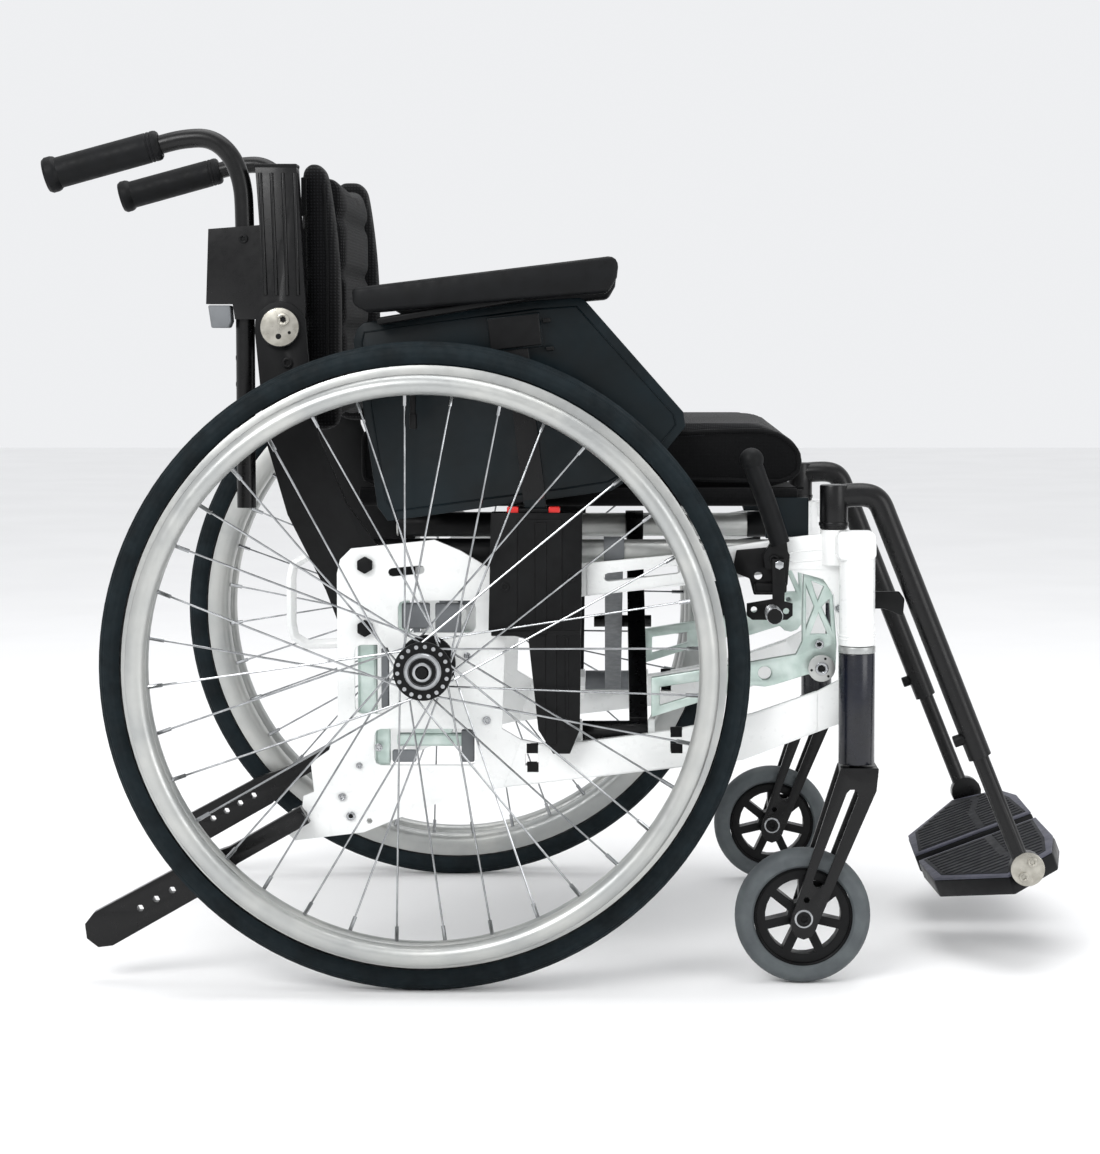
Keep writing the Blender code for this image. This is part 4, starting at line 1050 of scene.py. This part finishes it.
# side frames, brackets and brakes
for side, out in sides.items():
    own = f"frame_{side}"
    polished(f"side_frame_{side}", looks["whiteFrame"], own, 0.0011, 2, 40)
    polished(f"lattice_bracket_{side}", looks["mintCasting"], own, 0.0012, 2)
    polished(f"back_bracket_{side}", looks["blackPressing"], own, 0.0008, 2)
    polished(f"brake_body_{side}", looks["blackPressing"], own, 0.0010, 2)
    polished(f"seat_rail_{side}", looks["satinAluminium"], f"seat_rail_{side}", 0.0008, 2)

    rail = f"seat_rail_{side}"
    low, high = [Vector(v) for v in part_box(rail)]
    railY, railZ = (low.y + high.y) / 2, (low.z + high.z) / 2
    sleeves = [bar("sleeve", (low.x + 0.002, railY, railZ), (axleX + 0.105, railY, railZ), 0.0133, 32,
                   0.0008),
               bar("sleeve", (high.x - 0.030, railY, railZ), (high.x + 0.001, railY, railZ), 0.0136, 32,
                   0.0012)]
    dress(joinAll(sleeves, "sleeves"), looks["nylon"], rail, f"railSleeves_{side}")
    apron = sidePad("apron", out, (0.3120, 0.3520), (0.2030, 0.2062), (0.4070, 0.4450), 0.0012, 2)
    dress(apron, looks["panel"], rail, f"seatApron_{side}")

    # a shoulder carries the top of the plate over to the caster column, with a shallow slot pressed beside it
    shoulder = sidePad("shoulder", out, (0.3740, 0.4106), (0.2258, 0.2590), (0.3900, 0.4166), 0.0062, 4)
    slotRun = [(x, z) for x,
               z in ((0.337, 0.3962), (0.360, 0.3985), (0.367, 0.3968), (0.367, 0.3908), (0.360, 0.3888),
                                   (0.337, 0.3868), (0.3315, 0.3890), (0.3315, 0.3945))]
    pressed = closedCord("pressed", [fromAxle(x, out * 0.2264, z) for x, z in slotRun], 0.0010, 8)
    dress(joinAll([shoulder, pressed], "shoulder"), looks["whiteFrame"], own,
          f"frontShoulder_{side}")

    # screws, rivets and the cover discs of the side frame; thin black discs in the screw sockets and over the
    # holes are painted shade
    bright, dark, cast = [], [], []
    outside = out * 0.2258
    cast.append(bar("disc", fromAxle(0.363, out * 0.2262, 0.2885), fromAxle(0.363, out * 0.2288, 0.2885),
                    0.0125, 40, 0.0007))
    bright.append(screwHead("screw", fromAxle(0.363, out * 0.2286, 0.2885), 0.0062, out, 0.0028))
    for x, z, radius in ((0.361, 0.3105, 0.0042), (0.378, 0.344, 0.0034), (-0.072, 0.1510, 0.0042),
                         (-0.080, 0.1690, 0.0036),
                         (0.054, 0.240, 0.0038), (-0.046, 0.215, 0.0038), (0.036, 0.300, 0.0032),
                         (-0.064, 0.198, 0.0030)):
        bright.append(screwHead("screw", fromAxle(x, outside, z), radius, out, 0.0020))
    # thin black discs on the floors of the screw sockets: painted shade
    for x, y, z, radius in ((0.363, 0.2298, 0.2885, 0.0034), (-0.072, 0.2267, 0.1510, 0.0021),
                            (0.361, 0.2267, 0.3105, 0.0021)):
        dark.append(bar("well", fromAxle(x, out * y, z), fromAxle(x, out * (y + 0.0002), z), radius, 6))
    # thin black pads in the square holes of the rail: painted shade inside the holes
    for x, z in ((0.0960, 0.2140), (0.0965, 0.1965), (0.2290, 0.2290), (0.2295, 0.2140)):
        dark.append(sidePad("squareHoleShade", out, (x - 0.0055, x + 0.0055), (0.2225, 0.2268),
                            (z - 0.0048, z + 0.0048), 0.0005, 1))
    # small black discs on the casting disc: painted shade of its holes
    for turn in (70, 190, 310):
        place = fromAxle(0.363 + 0.0095 * math.cos(math.radians(turn)), out * 0.2287,
                         0.2885 + 0.0095 * math.sin(math.radians(turn)))
        dark.append(bar("hole", place, place + Vector((0, out * 0.0004, 0)), 0.0012, 14))
    # black discs on the plate where it has holes: painted shade of the holes
    for x, z in ((0.082, 0.196), (0.300, 0.222), (0.340, 0.236)):
        dark.append(bar("hole", fromAxle(x, outside, z), fromAxle(x, out * 0.2264, z), 0.0022, 16))
    dress(joinAll(cast, "cast"), looks["satinAluminium"], own, f"castingDisc_{side}")
    dress(joinAll(bright, "bright"), looks["steel"], own, f"frameScrews_{side}")
    dress(joinAll(dark, "dark"), looks["blackPressing"], own, f"frameHoles_{side}")

    # axle receiver and its clamp castings, seen through the windows of the rear plate; the clamps and webs
    # are a darker grey than the mint receiver, painted shade for the shadow behind the plate
    inner = out * 0.2150
    blocks = []
    for x, z, halfX, halfZ in ((-0.012, 0.336, 0.013, 0.012), (0.018, 0.333, 0.012, 0.015),
                               (0.004, 0.312, 0.020, 0.0075)):
        blocks.append(roundedPad("clamp", Vector((axleX + x - halfX, inner - 0.0035, z - halfZ)),
                                 Vector((axleX + x + halfX, inner + 0.0035, z + halfZ)), 0.0018, 2))
    # clamps in the darker grey: painted shade behind the rear plate
    dress(joinAll(blocks, "clamps"), looks["greyPaintAndShade"], own, f"axleClamps_{side}")
    receiver = [sidePad("receiver", out, (-0.030, 0.034), (0.2040, 0.2140), (0.214, 0.226), 0.0025, 2),
                sidePad("receiver", out, (-0.016, 0.022), (0.2060, 0.2170), (0.226, 0.276), 0.0030, 2)]
    receiver += [sidePad("receiver", out, (-0.066, -0.048), (0.2080, 0.2180), (0.236, 0.316), 0.0030, 2),
                 sidePad("receiver", out, (-0.050, -0.036), (0.2085, 0.2175), (0.196, 0.236), 0.0025, 2)]
    # webs in the same darker grey: painted shade behind the rear plate
    webs = [sidePad("web", out, (x0, x1), (0.2110, 0.2185), (z0, z1), 0.0010, 1)
            for x0, x1, z0,
            z1 in ((-0.044, -0.037, 0.250, 0.306), (0.030, 0.042, 0.200, 0.230),
                   (-0.034, -0.012, 0.200, 0.211))]
    dress(joinAll(webs, "webs"), looks["greyPaintAndShade"], own, f"axleWebs_{side}")
    dress(joinAll(receiver, "receiver"), looks["mintCasting"], own,
          f"axleReceiver_{side}")
    collar = ring("collar",
                  [(0.0142, 0.2256), (0.0195, 0.2256), (0.0195, 0.2285), (0.0186, 0.2294), (0.0142, 0.2294)],
                  (0, 0, 0), 40)
    for vertex in collar.data.vertices:
        vertex.co = Vector((axleX + vertex.co.x, out * vertex.co.y, axleZ + vertex.co.z))
    tidyMesh(collar)
    dress(collar, looks["satinAluminium"], own, f"axleCollar_{side}")

    # brake: matte handle with a ball tip, two-hole plate and knurled pin
    lever = f"brake_lever_{side}"
    polished(lever, looks["nylon"], lever, 0.0014, 2)
    gripPath = [fromAxle(0.3235, out * 0.242, 0.4045), fromAxle(0.3185, out * 0.242, 0.420),
                fromAxle(0.3105, out * 0.242, 0.444),
                fromAxle(0.3035, out * 0.242, 0.462), fromAxle(0.2975, out * 0.242, 0.479)]
    sleeve = pipe("brakeGrip", gripPath, 0.0090, 24, 8)
    bpy.ops.mesh.primitive_uv_sphere_add(segments=32, ring_count=20, radius=0.0112,
                                         location=fromAxle(0.2970, out * 0.242, 0.4815))
    knob = settle(bpy.context.object)
    bpy.ops.object.shade_smooth()
    dress(joinAll([sleeve, knob], "brakeGrip"), looks["grip"], lever, f"brakeGrip_{side}")
    block = sidePad("block", out, (0.3000, 0.3300), (0.2328, 0.2392), (0.3588, 0.3688), 0.0028, 3)
    dress(block, looks["blackPressing"], own, f"brakeBlock_{side}")
    pivot = screwHead("pivot", fromAxle(0.318, out * 0.2398, 0.390), 0.0045, out, 0.0022)
    dress(pivot, looks["blackPressing"], lever, f"brakePivot_{side}")
    shoe = f"brake_shoe_{side}"
    polished(shoe, looks["blackPressing"], shoe, 0.0008, 2)
    knurl = bar("knurl", fromAxle(0.316, out * 0.247, 0.3425), fromAxle(0.316, out * 0.2878, 0.3425), 0.0071,
                30, 0.0009)
    knurlRings = [bar("knurlRing", fromAxle(0.316, out * (0.2500 + 0.0048 * i), 0.3425),
                      fromAxle(0.316, out * (0.2524 + 0.0048 * i), 0.3425), 0.0077, 30, 0.0006)
                  for i in range(8)]
    dress(joinAll([knurl, *knurlRings], "knurl"), looks["steel"], shoe, f"brakePin_{side}")
    nuts = [bar("nut", fromAxle(x, out * 0.2443, z), fromAxle(x, out * 0.2466, z), 0.0044, 6, 0.0005)
            for x, z in ((0.3225, 0.3855),)]
    dress(joinAll(nuts, "nuts"), looks["steel"], shoe, f"brakeNut_{side}")
    tipper = f"anti_tipper_{side}"
    polished(tipper, looks["blackFrame"], tipper, 0.0022, 3)
for side, look, slot in (("right", "blackFrame", "black_powder_coat"),
                         ("left", "greyPaintAndShade", "grey_painted_metal")):
    polished(f"cross_arm_{side}", looks[look], f"cross_arm_{side}", 0.0014, 2)
print("side frames built")


# leg supports
tiltUp = math.radians(20.6)
plateSet = {"border": 0.009, "ribs": 13, "ribTall": 0.0011}


# a flat outline in the footplate's own plane, u forward and w outward, raised between two heights
def plateSlab(name, outline, bottom, top, out, edge):
    count = len(outline)
    verts = [(u, out * w, bottom) for u, w in outline] + [(u, out * w, top) for u, w in outline]
    faces = [tuple(range(count))[::-1], tuple(range(count, 2 * count))]
    faces += [(i, (i + 1) % count, (i + 1) % count + count, i + count) for i in range(count)]
    mesh = bpy.data.meshes.new(name)
    mesh.from_pydata(verts, [], faces)
    slab = bpy.data.objects.new(name, mesh)
    bpy.context.scene.collection.objects.link(slab)
    tidyMesh(slab, 0)
    easeEdges(slab, edge, 2, 30)
    bpy.ops.object.shade_smooth_by_angle(angle=math.radians(35))
    return slab


def ontoPlate(obj):
    place = Matrix.Translation(fromAxle(0.555, 0, 0.101)) @ Matrix.Rotation(-tiltUp, 4, "Y")
    obj.data.transform(place)
    return obj


def shrunk(outline, amount):
    middleU = sum(u for u, w in outline) / len(outline)
    middleW = sum(w for u, w in outline) / len(outline)
    result = []
    for u, w in outline:
        run = Vector((u - middleU, w - middleW))
        run *= (run.length - amount) / run.length
        result.append((middleU + run.x, middleW + run.y))
    return result


plateOutline = [(u / math.cos(tiltUp), w) for u, w in
                [(-0.0790, 0.016), (-0.0755, 0.115), (-0.0170, 0.2110), (0.0290, 0.1775), (0.0400, 0.118),
                 (0.0390, 0.016)]]
for side, out in sides.items():
    own = f"footplate_{side}"
    base = plateSlab("base", plateOutline, -0.0220, -0.0045, out, 0.0022)
    dress(ontoPlate(base), looks["plateSide"], own, f"footplateBase_{side}")
    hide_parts(own)
    border = plateSlab("border", shrunk(plateOutline, 0.0008), -0.0048, -0.0022, out, 0.0009)
    dress(ontoPlate(border), looks["plateEdge"], own, f"footplateBorder_{side}")
    inner = shrunk(plateOutline, plateSet["border"])
    mat = plateSlab("mat", inner, -0.0024, -0.0016, out, 0.0003)
    ribs = []
    for number in range(plateSet["ribs"]):
        w = 0.030 + number * 0.0122
        hits = []
        for (u0, w0), (u1, w1) in zip(inner, inner[1:] + inner[:1]):
            if (w0 - w) * (w1 - w) < 0:
                hits.append(u0 + (u1 - u0) * (w - w0) / (w1 - w0))
        if len(hits) == 2 and abs(hits[0] - hits[1]) > 0.02:
            start, end = min(hits) + 0.003, max(hits) - 0.003
            gap = (start + end) / 2 + 0.010
            for first, last in ((start, gap - 0.004), (gap + 0.004, end)):
                ribs.append(roundedPad("rib", Vector((first, out * w - 0.0036, -0.0018)),
                                       Vector((last, out * w + 0.0036, -0.0018 + plateSet["ribTall"])),
                                       0.0005, 1))
    ribbed = joinAll([mat, *ribs], "mat")
    dress(ontoPlate(ribbed), looks["plateMat"], own, f"footplateMat_{side}")

    leg = f"footrest_{side}"
    disc = [bar("disc", fromAxle(0.555, out * 0.2252, 0.101), fromAxle(0.555, out * 0.2266, 0.101), 0.0158,
                44, 0.0005)]
    for turn in (60, 240):
        x, z = 0.0080 * math.cos(math.radians(turn)), 0.0080 * math.sin(math.radians(turn))
        disc.append(screwHead("screw", fromAxle(0.555 + x, out * 0.2264, 0.101 + z), 0.0046, out, 0.0022))
    dress(joinAll(disc, "disc"), looks["machined"], leg, f"hingeDisc_{side}")
    polished(f"footrest_tube_{side}", looks["blackFrame"], leg, 0.0009, 2)

    # hanger: one smooth bend from the post into the leg, with its post and the knob that sets the length
    hangerBody = f"hanger_{side}"
    y, postY = out * 0.219, out * 0.222
    legTop, legEnd = fromAxle(0.4200, y, 0.4335), fromAxle(0.5108, y, 0.2049)
    run = (legEnd - legTop).normalized()
    bend = [fromAxle(0.374, postY, 0.4465), fromAxle(0.392, y, 0.4486), fromAxle(0.408, y, 0.4480),
            fromAxle(0.4165, y, 0.4420),
            legTop + run * 0.004, legTop + run * 0.05, legEnd - run * 0.06, legEnd]
    tube = pipe("hangerTube", bend, 0.0110, 28, 10)
    bore = bar("bore", legEnd - run * 0.19, legEnd + run * 0.01, 0.0086, 24)
    hollow = tube.modifiers.new("hollow", "BOOLEAN")
    hollow.operation, hollow.object, hollow.solver = "DIFFERENCE", bore, "EXACT"
    applyAll(tube)
    bpy.data.objects.remove(bore)
    bpy.ops.object.shade_smooth_by_angle(angle=math.radians(40))
    post = bar("post", fromAxle(0.374, postY, 0.4169), fromAxle(0.374, postY, 0.4580), 0.0130, 36, 0.0016)
    lip = bar("lip", fromAxle(0.374, postY, 0.4200), fromAxle(0.374, postY, 0.4235), 0.0138, 36, 0.0006)
    pin = bar("pin", fromAxle(0.374, postY, 0.395), fromAxle(0.374, postY, 0.4172), 0.006, 20, 0.0006)
    dress(tube, looks["blackFrame"], hangerBody, f"hangerTube_{side}")
    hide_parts(hangerBody)
    dress(joinAll([post, lip, pin], "hangerPost"), looks["blackFrame"], hangerBody,
          f"hangerPost_{side}")
    knob = bar("knob", fromAxle(0.4990, out * 0.2210, 0.2235), fromAxle(0.4860, out * 0.2210, 0.2190),
               0.0055, 22, 0.0010)
    dress(knob, looks["nylon"], hangerBody, f"lengthKnob_{side}")
    polished(f"hanger_release_{side}", looks["nylon"], f"hanger_release_{side}", 0.0012, 2)
print("leg supports built")
